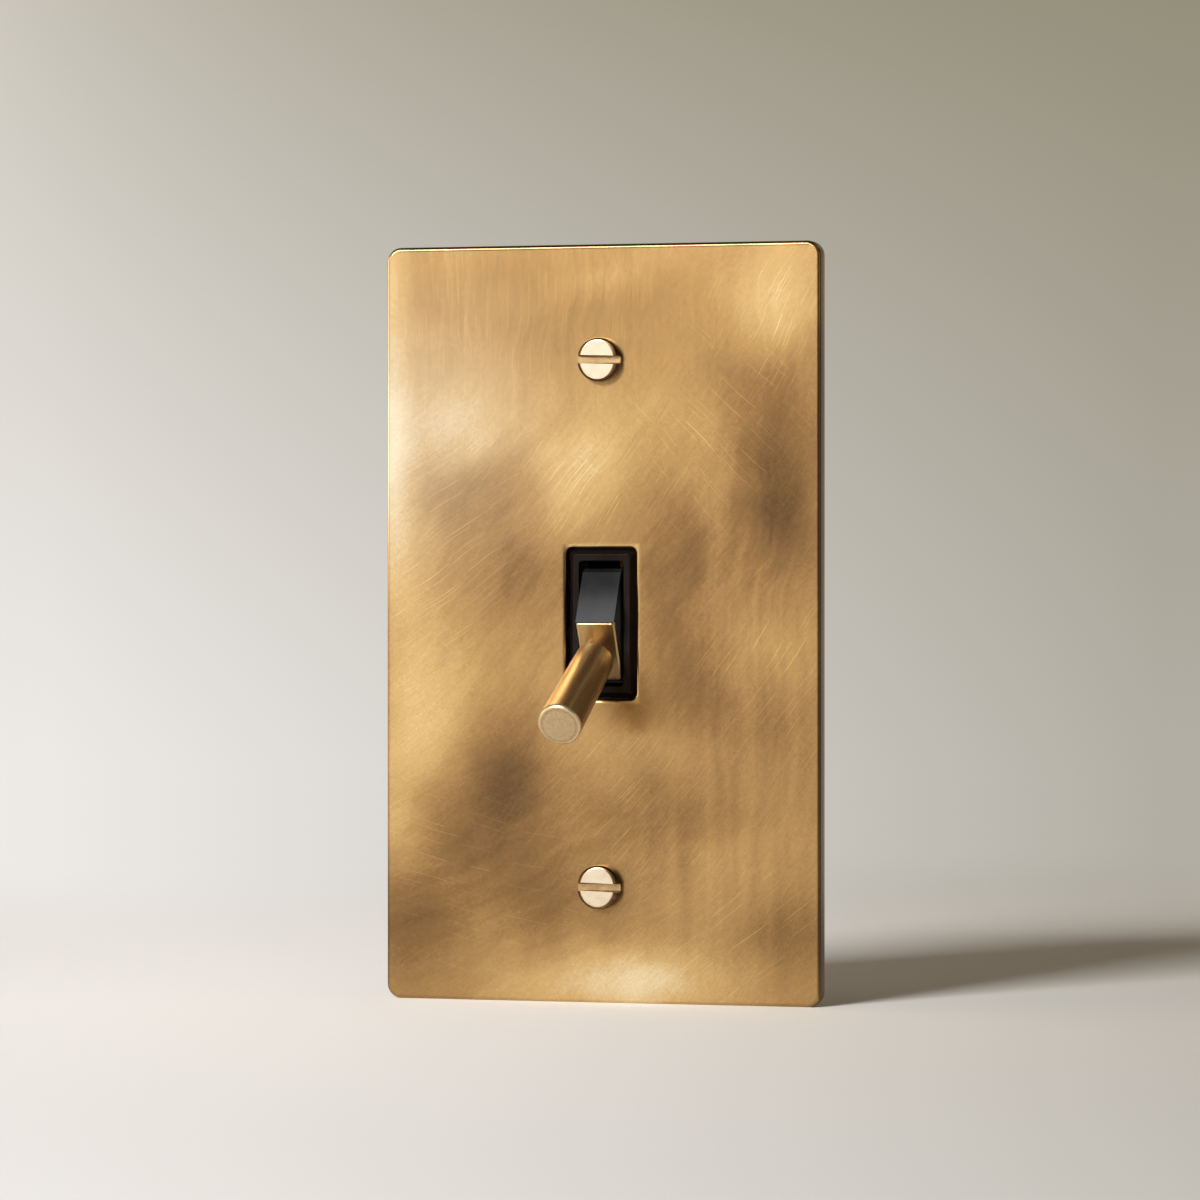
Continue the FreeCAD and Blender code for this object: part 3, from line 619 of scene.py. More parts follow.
finish["aged_brass"] = aged_brass()
print("finish aged_brass with", len(finish["aged_brass"].node_tree.nodes), "nodes")

# %% [markdown]
# ## The other metals
#
# The hidden stampings, screws and springs are all metal with the same kinds of marks at other scales. One
# recipe takes the two end colours, how rough the metal is, and the direction of its tool marks, so each
# piece has a finish of its own without a second graph to keep.

# %% A recipe for plain metals
LINE_RANGE = (0.2, 0.8)
CLOUD_DRIFT = 0.6
METAL_CLOUD_TONES, METAL_LINE_TONES, METAL_STROKE_TONE = (0.15, 0.75), (-0.2, 0.2), 0.25
STROKE_HEIGHT = 0.6
METAL_STROKES = {"Turn": 0.7, "Bend": 3.0, "Length": 2.5, "Spacing": 0.7, "Width": 0.05}


def mix_colour(tree, factor, first, second, how="MIX"):
    """Mixes two colours; returns the result socket."""
    node = add_node(tree, "ShaderNodeMix", data_type="RGBA", blend_type=how)
    feed(tree, node.inputs[0], factor)
    for socket, colour in ((node.inputs[6], first), (node.inputs[7], second)):
        feed(tree, socket, colour if isinstance(colour, bpy.types.NodeSocket) else (*colour, 1.0))
    return node.outputs[2]


def plain_metal(name, dark, light, rough, marks, cloud_size, bump):
    """Metal with clouds, tool marks along one direction and fine strokes."""
    material, tree, shader = new_finish(name, Metallic=1.0)
    place = millimetre_coordinates(tree)
    cloud = use_group(tree, patina_cloud, place, {"Size": cloud_size, "Drift": cloud_size * CLOUD_DRIFT})
    lines = use_group(tree, mill_hairlines, place, {"Stretch": marks})
    strokes = use_group(tree, polish_strokes, place, METAL_STROKES)
    tone = remap(tree, cloud, *CLOUD_RANGE, *METAL_CLOUD_TONES)
    tone = add_up(tree, tone, remap(tree, lines, *LINE_RANGE, *METAL_LINE_TONES))
    tone = math_node(tree, "ADD", tone, times(tree, strokes, METAL_STROKE_TONE), clamp=True)
    tree.links.new(mix_colour(tree, tone, dark, light), shader.inputs["Base Color"])
    tree.links.new(remap(tree, tone, 0.0, 1.0, rough[1], rough[0]), shader.inputs["Roughness"])
    add_bump(tree, shader, add_up(tree, lines, times(tree, strokes, STROKE_HEIGHT)), bump)
    return material


print("recipe for plain metals is ready")

# %% The hidden metals
# Each metal: dark and light colour, least and most roughness, stretch of the marks, cloud size, bump.
METALS = [
    ("terminal_brass", (0.50, 0.35, 0.15), (0.80, 0.60, 0.30), (0.28, 0.42), (0.2, 6.0, 6.0), 5.0, 0.05),
    ("terminal_screw_brass", (0.48, 0.33, 0.15), (0.82, 0.63, 0.33), (0.26, 0.4), (6.0, 0.4, 0.4), 3.0, 0.05),
    ("blade_copper", (0.48, 0.22, 0.12), (0.80, 0.43, 0.26), (0.26, 0.40), (6.0, 6.0, 0.2), 4.0, 0.05),
    ("contact_silver", (0.55, 0.54, 0.52), (0.86, 0.85, 0.82), (0.24, 0.38), (3.0, 3.0, 3.0), 2.0, 0.04),
    ("zinc_steel", (0.40, 0.41, 0.41), (0.68, 0.69, 0.68), (0.34, 0.50), (4.0, 4.0, 0.15), 6.0, 0.06),
    ("rivet_steel", (0.42, 0.42, 0.42), (0.72, 0.72, 0.71), (0.28, 0.42), (0.6, 5.0, 0.6), 2.5, 0.05),
    ("pin_steel", (0.44, 0.44, 0.45), (0.74, 0.74, 0.75), (0.20, 0.32), (6.0, 0.3, 0.3), 3.0, 0.04),
    ("spring_steel", (0.28, 0.28, 0.29), (0.56, 0.56, 0.57), (0.26, 0.40), (3.0, 3.0, 3.0), 2.0, 0.04),
    ("green_screw", (0.02, 0.13, 0.045), (0.10, 0.40, 0.16), (0.26, 0.42), (5.0, 0.5, 0.5), 3.0, 0.05),
]
for row in METALS:
    finish[row[0]] = plain_metal(*row)
print("metal finishes:", ", ".join(row[0] for row in METALS))

# %% [markdown]
# ## Lever, cap and screws
#
# The lever's tone has soft bands that run lengthwise, painted reflections: bright along its left side, with
# dark and pale stripes across the rest, and its neck is kept darker as painted shade. Its flat tip is paler,
# with a bright ring that is a painted highlight on its edge. On the screws only the face is rubbed. The rim,
# the flank and the slot's walls keep their brown, partly as painted shade, which is what makes the slot easy
# to see, and the upper rim carries a painted highlight. The cap has painted highlights along its edges and
# painted shade towards its right.

# %% Finish of the lever
PIVOT = (0.0, 4.8, 0.0)
HALF_THROW = math.radians(27.0)
CAP_REACH, NECK_LENGTH, LEVER_LENGTH = 10.0, 2.5, 24.3
CAP_FACE = PIVOT[1] - CAP_REACH
NECK_END = CAP_FACE - NECK_LENGTH
LEVER_TIP = CAP_FACE - LEVER_LENGTH
# Each painted reflection band along the lever: how far across, half width, strength.
LEVER_REFLECTION_BANDS = [(-2.7, 0.8, 0.45), (-1.4, 0.3, -0.25), (-0.4, 0.6, 0.36), (1.1, 0.6, -0.34), (2.0, 0.25, 0.30)]
NECK_REFLECTION_BANDS = [(-1.2, 0.5, 0.45), (1.6, 0.9, -0.15)]
# The neck's low tone is painted shade.
ROD_TONES, NECK_SHADE_TONE = (0.50, 0.70), 0.32
LEVER_HAIRLINES = {"Stretch": (2.2, 0.10, 2.2)}
LEVER_GRAIN_SCALE, LEVER_GRAIN_DETAIL, LEVER_GRAIN_TONES = 2.5, 4.0, (-0.06, 0.06)
LEVER_ROUGHNESS = (0.40, 0.32)
# Where the neck's tone starts behind the shoulder, and the tip's tone behind the tip.
NECK_FADE, TIP_FADE = (-0.25, 0.05), (0.65, 0.35)
# The tip's face darkens to a ring, given by its radii, and its edge is bright with a painted highlight.
TIP_RING, TIP_TONES = (2.45, 2.75), (0.52, 0.43)
TIP_HIGHLIGHT_RADII, TIP_HIGHLIGHT_TONE = (2.85, 3.15), 0.25
LEVER_TONES = [
    (0.00, (0.170, 0.105, 0.058)),
    (0.35, (0.400, 0.270, 0.145)),
    (0.65, (0.700, 0.525, 0.305)),
    (1.00, (0.940, 0.820, 0.600)),
]


def in_dolly(tree, place):
    """Coordinates with the lever level: X across, Y along the lever, Z up."""
    turned = add_node(
        tree,
        "ShaderNodeVectorRotate",
        {"Vector": place, "Center": PIVOT, "Angle": -HALF_THROW},
        rotation_type="X_AXIS",
    )
    return turned.outputs[0]


def with_reflection_bands(tree, tone, across_only, bands):
    """A tone with soft bands of painted reflection that run along the lever."""
    for across, half_width, strength in bands:
        settings = {"Across": across, "Half Width": half_width, "Strength": strength}
        tone = add_up(tree, tone, use_group(tree, soft_patch, across_only, settings))
    return tone


def lever_brass():
    """Turned brass with painted reflection bands along its length, painted shade on the neck, and a pale,
    ringed tip whose edge carries a painted highlight.
    """
    material, tree, shader = new_finish("lever_brass", Metallic=1.0)
    place = in_dolly(tree, millimetre_coordinates(tree))
    parts = split(tree, place)
    across_only = add_node(tree, "ShaderNodeCombineXYZ", {"X": parts["X"]}).outputs[0]
    lines = use_group(tree, mill_hairlines, place, LEVER_HAIRLINES)
    rod = with_reflection_bands(tree, remap(tree, lines, *CLOUD_RANGE, *ROD_TONES), across_only, LEVER_REFLECTION_BANDS)
    neck = with_reflection_bands(tree, NECK_SHADE_TONE, across_only, NECK_REFLECTION_BANDS)
    at_neck = remap(tree, parts["Y"], *(NECK_END + y for y in NECK_FADE), 0.0, 1.0)
    body = blend(tree, at_neck, rod, neck)
    round_about = add_node(tree, "ShaderNodeCombineXYZ", {"X": parts["X"], "Z": parts["Z"]}).outputs[0]
    out = vector_node(tree, "LENGTH", {0: round_about}, "Value")
    tip = add_up(
        tree, remap(tree, out, *TIP_RING, *TIP_TONES), remap(tree, out, *TIP_HIGHLIGHT_RADII, 0.0, TIP_HIGHLIGHT_TONE)
    )
    at_tip = remap(tree, parts["Y"], *(LEVER_TIP + y for y in TIP_FADE), 0.0, 1.0)
    grain = noise(tree, place, LEVER_GRAIN_SCALE, LEVER_GRAIN_DETAIL)
    grain = remap(tree, grain, *LINE_RANGE, *LEVER_GRAIN_TONES)
    tone = add_up(tree, blend(tree, at_tip, body, tip), grain)
    tree.links.new(colour_ramp(tree, tone, LEVER_TONES), shader.inputs["Base Color"])
    tree.links.new(remap(tree, tone, 0.2, 1.0, *LEVER_ROUGHNESS), shader.inputs["Roughness"])
    add_bump(tree, shader, lines, 0.06)
    return material


finish["lever_brass"] = lever_brass()
print("finish lever_brass with", len(LEVER_REFLECTION_BANDS), "bands")

# %% Finish of the cap
CAP_HALF_WIDTH = 3.15
# Painted shade darkens the cap's face towards its right, where the lever shades it, and a painted highlight
# runs along both its edges.
CAP_SPAN, CAP_SHADE_TONES = (-2.5, 2.0), (0.55, 0.18)
CAP_HIGHLIGHT_REACH, CAP_HIGHLIGHT_TONE = (0.15, 0.35), 0.55
CAP_HAIRLINES, CAP_LINE_TONES = {"Stretch": (4.0, 0.3, 0.3)}, (-0.08, 0.08)
CAP_ROUGHNESS = (0.36, 0.28)
CAP_TONES = [
    (0.00, (0.110, 0.065, 0.030)),
    (0.35, (0.300, 0.185, 0.080)),
    (0.65, (0.560, 0.380, 0.170)),
    (1.00, (0.860, 0.690, 0.400)),
]


def cap_brass():
    """Satin brass with painted highlights along its edges, and painted shade towards its right side, where
    the lever shades it.
    """
    material, tree, shader = new_finish("cap_brass", Metallic=1.0)
    place = in_dolly(tree, millimetre_coordinates(tree))
    across = split(tree, place)["X"]
    lines = use_group(tree, mill_hairlines, place, CAP_HAIRLINES)
    face = remap(tree, across, *CAP_SPAN, *CAP_SHADE_TONES)
    inside = math_node(tree, "SUBTRACT", CAP_HALF_WIDTH, size_of(tree, across))
    edge = remap(tree, inside, *CAP_HIGHLIGHT_REACH, CAP_HIGHLIGHT_TONE, 0.0)
    tone = add_up(tree, face, edge, remap(tree, lines, *LINE_RANGE, *CAP_LINE_TONES))
    tree.links.new(colour_ramp(tree, tone, CAP_TONES), shader.inputs["Base Color"])
    tree.links.new(remap(tree, tone, 0.2, 1.0, *CAP_ROUGHNESS), shader.inputs["Roughness"])
    add_bump(tree, shader, lines, 0.05)
    return material


finish["cap_brass"] = cap_brass()
print("finish cap_brass, for a cap", 2 * CAP_HALF_WIDTH, "mm wide")

# %% Finish of the plate screws
HEAD_TOP, SLOT_HALF, SLOT_FLOOR = -4.9, 0.65, -3.9
SCREW_UP = 41.67
# The rubbed oval of the face lies a little to the left of the head's middle.
RUBBED_HALF_WIDTH, RUBBED_HALF_HEIGHT, RUBBED_LEFT = 2.75, 3.15, 0.15
OVAL_EDGE, FACE_DEPTHS = (0.92, 1.08), (0.035, 0.01)
# The slot's worn floor: how far inside the walls and how near to the floor it starts and is full. The strips
# left dark along the walls are painted shade.
SLOT_SHADE_INSETS, SLOT_DEPTHS, SLOT_TONE = (0.20, 0.08), (0.08, 0.02), 0.55
SHANK_FADE, SHANK_TONE = 0.5, 0.6
# A painted highlight on the upper rim.
UPPER_RIM_HIGHLIGHT_SPAN, UPPER_RIM_HIGHLIGHT_TONE = (0.7, 3.2), 0.20
SCREW_CLOUDS, SCREW_CLOUD_TONES = {"Size": 2.0, "Drift": 1.2}, (-0.12, 0.08)
SCREW_STROKE_TONE, SCREW_ROUGHNESS = 0.2, (0.30, 0.25)
SCREW_STROKES = {"Turn": 0.8, "Bend": 2.0, "Length": 2.0, "Spacing": 0.35, "Width": 0.05}
SCREW_TONES = [
    (0.00, (0.090, 0.045, 0.022)),
    (0.30, (0.260, 0.155, 0.070)),
    (0.55, (0.450, 0.300, 0.140)),
    (1.00, (0.740, 0.630, 0.480)),
]


def screw_wear_and_painted_light(tree, parts):
    """The screw's tone, from 0 for brown metal to 1 for the pale face: wear on the face and the slot's floor,
    painted shade along the slot's walls, and a painted highlight on the upper rim.
    """
    above = math_node(tree, "SUBTRACT", size_of(tree, parts["Z"]), SCREW_UP)
    wide = math_node(tree, "DIVIDE", add_up(tree, parts["X"], RUBBED_LEFT), RUBBED_HALF_WIDTH)
    high = math_node(tree, "DIVIDE", above, RUBBED_HALF_HEIGHT)
    oval = add_up(tree, times(tree, wide, wide), times(tree, high, high))
    face = remap(tree, parts["Y"], *(HEAD_TOP + depth for depth in FACE_DEPTHS), 0.0, 1.0)
    face = times(tree, face, remap(tree, oval, *OVAL_EDGE, 1.0, 0.0))
    walls = (SLOT_HALF - inset for inset in SLOT_SHADE_INSETS)
    in_slot = remap(tree, size_of(tree, above), *walls, 1.0, 0.0)
    low = remap(tree, parts["Y"], *(SLOT_FLOOR - depth for depth in SLOT_DEPTHS), 0.0, 1.0)
    worn = times(tree, times(tree, in_slot, low), SLOT_TONE)
    shank = remap(tree, parts["Y"], PLATE_FRONT, PLATE_FRONT + SHANK_FADE, 0.0, SHANK_TONE)
    upper_rim_highlight = remap(tree, above, *UPPER_RIM_HIGHLIGHT_SPAN, 0.0, UPPER_RIM_HIGHLIGHT_TONE)
    for part in (shank, upper_rim_highlight, face):
        worn = math_node(tree, "MAXIMUM", worn, part)
    return worn


def screw_brass():
    """Turned brass, worn pale on the head's face; brown on rim, flank and slot walls, partly as painted
    shade, with a painted highlight on the upper rim.
    """
    material, tree, shader = new_finish("screw_brass", Metallic=1.0)
    place = millimetre_coordinates(tree)
    cloud = use_group(tree, patina_cloud, place, SCREW_CLOUDS)
    strokes = use_group(tree, polish_strokes, place, SCREW_STROKES)
    tone = add_up(
        tree,
        screw_wear_and_painted_light(tree, split(tree, place)),
        remap(tree, cloud, *CLOUD_RANGE, *SCREW_CLOUD_TONES),
        times(tree, strokes, SCREW_STROKE_TONE),
    )
    tree.links.new(colour_ramp(tree, tone, SCREW_TONES), shader.inputs["Base Color"])
    tree.links.new(remap(tree, tone, 0.0, 1.0, *SCREW_ROUGHNESS), shader.inputs["Roughness"])
    add_bump(tree, shader, strokes, 0.08)
    return material


finish["screw_brass"] = screw_brass()
print("finish screw_brass for heads at", SCREW_UP, "mm above and below the middle")

# %% [markdown]
# ## Mouldings and fibre
#
# The collar, rocker and housing are black thermoset, a hard resin with a dull skin. Its colour hardly
# changes, so the life comes from roughness: rubbed places shine a little, and a fine grain breaks the light.
# The rocker gets painted light, paler towards its lower end.

# %% A recipe for mouldings
MOULDING_CLOUDS = {"Size": 7.0, "Drift": 5.0}
SKIN_DETAIL, SKIN_ROUGHNESS = 3.0, 0.6
SKIN_AMOUNT, CLOUD_AMOUNT = 0.4, 0.6
# Painted light: how much of the tone stays, and how much paler the lowest part gets.
TONE_SHARE_UNDER_PAINTED_LIGHT, PAINTED_LIGHT_AMOUNT = 0.3, 0.7


def moulding(name, dark, light, rough, grain, bump, shine, painted_light_heights):
    """Hard moulded resin: faint clouds, a fine grain, and painted light, paler from one height down to
    another.
    """
    material, tree, shader = new_finish(name, Metallic=0.0, Specular_IOR_Level=shine)
    place = millimetre_coordinates(tree)
    cloud = use_group(tree, patina_cloud, place, MOULDING_CLOUDS)
    skin = noise(tree, place, 1.0 / grain, SKIN_DETAIL, SKIN_ROUGHNESS)
    tone = add_up(tree, times(tree, skin, SKIN_AMOUNT), remap(tree, cloud, *CLOUD_RANGE, 0.0, CLOUD_AMOUNT))
    if painted_light_heights:
        from_up, down_to = painted_light_heights
        paler = remap(tree, split(tree, place)["Z"], down_to, from_up, PAINTED_LIGHT_AMOUNT, 0.0)
        tone = add_up(tree, times(tree, tone, TONE_SHARE_UNDER_PAINTED_LIGHT), paler)
    tree.links.new(mix_colour(tree, tone, dark, light), shader.inputs["Base Color"])
    tree.links.new(remap(tree, tone, 0.1, 0.9, *rough), shader.inputs["Roughness"])
    add_bump(tree, shader, skin, bump)
    return material


# Each moulding: dark and light colour, roughness, grain size, bump, shine, and heights of the painted light.
BLACK, BROWN_BLACK = (0.002, 0.002, 0.002), (0.005, 0.003, 0.002)
MOULDINGS = [
    ("black_moulding", BROWN_BLACK, (0.012, 0.007, 0.005), (0.14, 0.24), 0.25, 0.04, 0.12, None),
    ("rocker_moulding", BLACK, (0.060, 0.061, 0.065), (0.42, 0.55), 0.16, 0.08, 0.08, (7.0, 0.0)),
    ("housing_moulding", (0.014, 0.012, 0.011), (0.032, 0.028, 0.025), (0.36, 0.54), 0.30, 0.12, 0.40, None),
    ("red_fibre", (0.20, 0.035, 0.024), (0.40, 0.100, 0.065), (0.62, 0.80), 0.20, 0.25, 0.30, None),
]
for row in MOULDINGS:
    finish[row[0]] = moulding(*row)
print("moulding finishes:", ", ".join(row[0] for row in MOULDINGS))

# %% [markdown]
# ## The face plate
#
# The plate is sawn from brass sheet, its corners rounded and its front edge eased by hand. It starts as a
# block at the frame's size. Bevels round the corners and then the front edge, cutters take out the aperture,
# the screw holes and the strap's pocket, and a last bevel eases the aperture's rim. The edges to bevel are
# picked by where they lie, so the helpers give every test its points in millimetres.

# %% Helpers that model in edit mode
NEAR = 0.01


def make_active(piece):
    """Selects one piece alone and makes it active."""
    bpy.ops.object.select_all(action="DESELECT")
    piece.select_set(True)
    bpy.context.view_layer.objects.active = piece


def start_edit(piece):
    """Makes one piece active and enters edit mode with nothing selected."""
    make_active(piece)
    bpy.ops.object.mode_set(mode="EDIT")
    bpy.ops.mesh.select_mode(type="EDGE")
    bpy.ops.mesh.select_all(action="DESELECT")


def end_edit():
    """Goes back to object mode."""
    bpy.ops.object.mode_set(mode="OBJECT")


def pick_edges(piece, wanted):
    """Selects the edges whose two ends, in millimetres, pass a test; returns how many there are."""
    mesh = bmesh.from_edit_mesh(piece.data)
    chosen = [e for e in mesh.edges if wanted(e.verts[0].co / MM, e.verts[1].co / MM)]
    for edge in chosen:
        edge.select_set(True)
    bmesh.update_edit_mesh(piece.data)
    return len(chosen)


def bevel_edges(piece, wanted, size, segments):
    """Bevels the edges that pass a test."""
    start_edit(piece)
    count = pick_edges(piece, wanted)
    bpy.ops.mesh.bevel(offset=size * MM, segments=segments, affect="EDGES", clamp_overlap=False)
    end_edit()
    return count


def rounded_block(name, width, height, radius, front, back, up=0.0, segments=8):
    """A block facing the room, with its four corners rounded."""
    bpy.ops.object.select_all(action="DESELECT")
    bpy.ops.mesh.primitive_cube_add(size=MM, location=(0, (front + back) / 2 * MM, up * MM))
    piece = bpy.context.object
    piece.name = name
    piece.scale = (width, back - front, height)
    bpy.ops.object.transform_apply(location=True, rotation=True, scale=True)
    if radius:
        bevel_edges(piece, lambda a, b: abs(a.y - b.y) > NEAR, radius, segments)
    return piece


print("helpers for edit mode are ready")

# %% The plate's outline
PLATE_CORNER, FRONT_EDGE, BACK_EDGE = 2.3, 0.6, 0.2
plate = rounded_block("brass_plate", PLATE_WIDTH, PLATE_HEIGHT, PLATE_CORNER, PLATE_FRONT, 0.0, segments=10)
bevel_edges(plate, lambda a, b: max(a.y, b.y) < PLATE_FRONT + NEAR, FRONT_EDGE, 5)
bevel_edges(plate, lambda a, b: min(a.y, b.y) > -NEAR, BACK_EDGE, 2)
print("plate outline", len(plate.data.polygons), "faces")

# %% Helpers that cut
def apply_modifier(piece, modifier):
    """Applies one modifier."""
    make_active(piece)
    bpy.ops.object.modifier_apply(modifier=modifier.name)


def cut_away(piece, cutters):
    """Cuts the cutters out of a piece and removes them."""
    for cutter in cutters:
        modifier = piece.modifiers.new("cut", "BOOLEAN")
        modifier.operation = "DIFFERENCE"
        modifier.solver = "EXACT"
        modifier.object = cutter
        apply_modifier(piece, modifier)
        bpy.data.objects.remove(cutter)


def round_bar(name, radius, front, back, up, vertices=48):
    """A round bar along Y."""
    bpy.ops.object.select_all(action="DESELECT")
    bpy.ops.mesh.primitive_cylinder_add(
        vertices=vertices,
        radius=radius * MM,
        depth=(back - front) * MM,
        location=(0, (front + back) / 2 * MM, up * MM),
        rotation=(math.pi / 2, 0, 0),
    )
    piece = bpy.context.object
    piece.name = name
    bpy.ops.object.transform_apply(location=True, rotation=True, scale=True)
    return piece


print("helpers that cut are ready")

# %% The plate's aperture, holes and pocket
APERTURE_CORNER, APERTURE_EDGE = 1.1, 0.5
POCKET_WIDTH, POCKET_HEIGHT, POCKET_CORNER, POCKET_FLOOR = 29.0, 103.34, 3.0, -1.5
HOLE_RADIUS, WASHER_SEAT, WASHER_FLOOR = 1.95, 8.6, -2.0
# Cutters start well in front of the plate and end well behind it.
CUT_FRONT, CUT_BACK = -4.0, 1.0
cutters = [
    rounded_block("aperture_cutter", APERTURE_WIDTH, APERTURE_HEIGHT, APERTURE_CORNER, CUT_FRONT, CUT_BACK),
    rounded_block("pocket_cutter", POCKET_WIDTH, POCKET_HEIGHT, POCKET_CORNER, POCKET_FLOOR, CUT_BACK),
]
for up in (SCREW_UP, -SCREW_UP):
    cutters.append(round_bar("hole_cutter", HOLE_RADIUS, CUT_FRONT, CUT_BACK, up))
    cutters.append(rounded_block("washer_cutter", WASHER_SEAT, WASHER_SEAT, 0.0, WASHER_FLOOR, CUT_BACK, up))
cut_away(plate, cutters)


def on_aperture_rim(a, b):
    """Edges of the aperture in the plate's front."""
    wide, high = APERTURE_WIDTH / 2 + 2 * NEAR, APERTURE_HEIGHT / 2 + 2 * NEAR
    return all(abs(p.y - PLATE_FRONT) < NEAR and abs(p.x) < wide and abs(p.z) < high for p in (a, b))


rim_count = bevel_edges(plate, on_aperture_rim, APERTURE_EDGE, 5)
print("aperture rim of", rim_count, "edges eased")

# %% Dress the plate
CAST = "switch_body"
DOLLY = "dolly"
SMOOTH_ANGLE = math.radians(35)


def dress(piece, body, slot_name, replaced):
    """Smooths a finished piece, gives it its finish and ties it to the frame."""
    make_active(piece)
    bpy.ops.object.shade_smooth_by_angle(angle=SMOOTH_ANGLE)
    modifier = piece.modifiers.new("flat faces stay flat", "WEIGHTED_NORMAL")
    modifier.keep_sharp = True
    modifier.weight = 100
    apply_modifier(piece, modifier)
    piece.data.materials.clear()
    piece.data.materials.append(finish[slot_name])
    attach(piece, body)
    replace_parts(piece, replaced)
    print(piece.name, "has", len(piece.data.polygons), "faces and rides on", body)


dress(plate, CAST, "aged_brass", "face_plate")

# %% [markdown]
# ## The plate screws
#
# Each is a slotted cheese-head screw, turned from bar. Half of its section is drawn point by point and spun
# round. A thin block cuts the slot. The thread is a small closed section that the Screw modifier carries
# round the shank, because a wound ridge catches light along its whole length and a row of rings wouldn't.

# %% Helpers for turned pieces
MERGE = 0.001 * MM


def draw_section(name, points):
    """Draws a line through points, given as radius and Y; leaves it selected in edit mode."""
    bpy.ops.object.select_all(action="DESELECT")
    bpy.ops.mesh.primitive_plane_add(size=MM)
    piece = bpy.context.object
    piece.name = name
    bpy.ops.object.mode_set(mode="EDIT")
    bpy.ops.mesh.select_mode(type="VERT")
    bpy.ops.mesh.select_all(action="SELECT")
    bpy.ops.mesh.merge(type="CENTER")
    bpy.ops.transform.translate(value=(points[0][0] * MM, points[0][1] * MM, 0))
    for (r0, y0), (r1, y1) in zip(points, points[1:]):
        step = ((r1 - r0) * MM, (y1 - y0) * MM, 0)
        bpy.ops.mesh.extrude_region_move(TRANSFORM_OT_translate={"value": step})
    bpy.ops.mesh.select_all(action="SELECT")
    return piece


def turned_piece(name, section, steps=64):
    """Spins half a section about the Y axis, as a lathe does."""
    piece = draw_section(name, section)
    bpy.ops.mesh.spin(steps=steps, angle=2 * math.pi, center=(0, 0, 0), axis=(0, 1, 0))
    bpy.ops.mesh.select_all(action="SELECT")
    bpy.ops.mesh.remove_doubles(threshold=MERGE)
    bpy.ops.mesh.normals_make_consistent(inside=False)
    end_edit()
    return piece


def on_ring(radius, y):
    """A test for the edges of one ring of a turned piece."""
    def wanted(a, b):
        return all(abs(p.y - y) < NEAR and abs(math.hypot(p.x, p.z) - radius) < NEAR for p in (a, b))
    return wanted


print("helpers for turned pieces are ready")

# %% One screw, turned and slotted
HEAD_RADIUS, HEAD_EDGE = 3.5, 0.55
NECK_OF_SCREW = 1.5
THREAD_RADIUS, THREAD_CORE, THREAD_PITCH = 1.75, 1.40, 0.6
SHANK_END, POINT_LENGTH, POINT_RADIUS = 22.0, 0.6, 1.0
SLOT_LENGTH, SLOT_TURN = 9.0, math.radians(1.5)
SLOT_LIP, LIP_REACH, SHORTEST_LIP = 0.07, 0.12, 1.0
screw_section = [
    (0.0, HEAD_TOP),
    (HEAD_RADIUS, HEAD_TOP),
    (HEAD_RADIUS, PLATE_FRONT),
    (NECK_OF_SCREW, PLATE_FRONT),
    (NECK_OF_SCREW, THREAD_CORE - NECK_OF_SCREW),
    (THREAD_CORE, 0.0),
    (THREAD_CORE, SHANK_END - POINT_LENGTH),
    (POINT_RADIUS, SHANK_END),
    (0.0, SHANK_END),
]
screw = turned_piece("upper_screw", screw_section)
start_edit(screw)
bpy.ops.mesh.select_all(action="SELECT")
bpy.ops.mesh.dissolve_limited(angle_limit=math.radians(1))
end_edit()
bevel_edges(screw, on_ring(HEAD_RADIUS, HEAD_TOP), HEAD_EDGE, 6)
slot_cutter = rounded_block("slot_cutter", SLOT_LENGTH, 2 * SLOT_HALF, 0.0, HEAD_TOP - 1.0, SLOT_FLOOR)
slot_cutter.data.transform(Matrix.Rotation(SLOT_TURN, 4, "Y"))
cut_away(screw, [slot_cutter])


def on_slot_lip(a, b):
    """The slot's two long edges in the head's face; the slot's small turn widens its reach."""
    flat = max(a.y, b.y) < HEAD_TOP + 2 * NEAR
    by_slot = all(abs(p.z) < SLOT_HALF + LIP_REACH for p in (a, b))
    return flat and by_slot and abs(a.x - b.x) > SHORTEST_LIP


print("slot lips:", bevel_edges(screw, on_slot_lip, SLOT_LIP, 2))

# %% The screw's thread
THREAD_TURNS = 35
# The ridge starts a little inside the core, and its crest is a narrow flat between two slopes.
RIDGE_SINK, RIDGE_SLOPE, RIDGE_CREST = 0.05, 0.20, 0.06
RIDGE_ROOT = THREAD_CORE - RIDGE_SINK
ridge_section = [
    (RIDGE_ROOT, 0.0),
    (THREAD_RADIUS, RIDGE_SLOPE),
    (THREAD_RADIUS, RIDGE_SLOPE + RIDGE_CREST),
    (RIDGE_ROOT, 2 * RIDGE_SLOPE + RIDGE_CREST),
]
ridge = draw_section("thread_ridge", ridge_section)
bpy.ops.mesh.edge_face_add()
bpy.ops.mesh.delete(type="ONLY_FACE")
end_edit()
winding = ridge.modifiers.new("winding", "SCREW")
winding.axis = "Y"
winding.angle = 2 * math.pi
winding.screw_offset = THREAD_PITCH * MM
winding.iterations = THREAD_TURNS
winding.steps = winding.render_steps = 24
winding.use_merge_vertices = False
apply_modifier(ridge, winding)
start_edit(ridge)
bpy.ops.mesh.select_all(action="SELECT")
bpy.ops.mesh.fill_holes(sides=4)
bpy.ops.mesh.normals_make_consistent(inside=False)
end_edit()
make_active(screw)
ridge.select_set(True)
bpy.ops.object.join()
print("thread of", THREAD_TURNS, "turns")

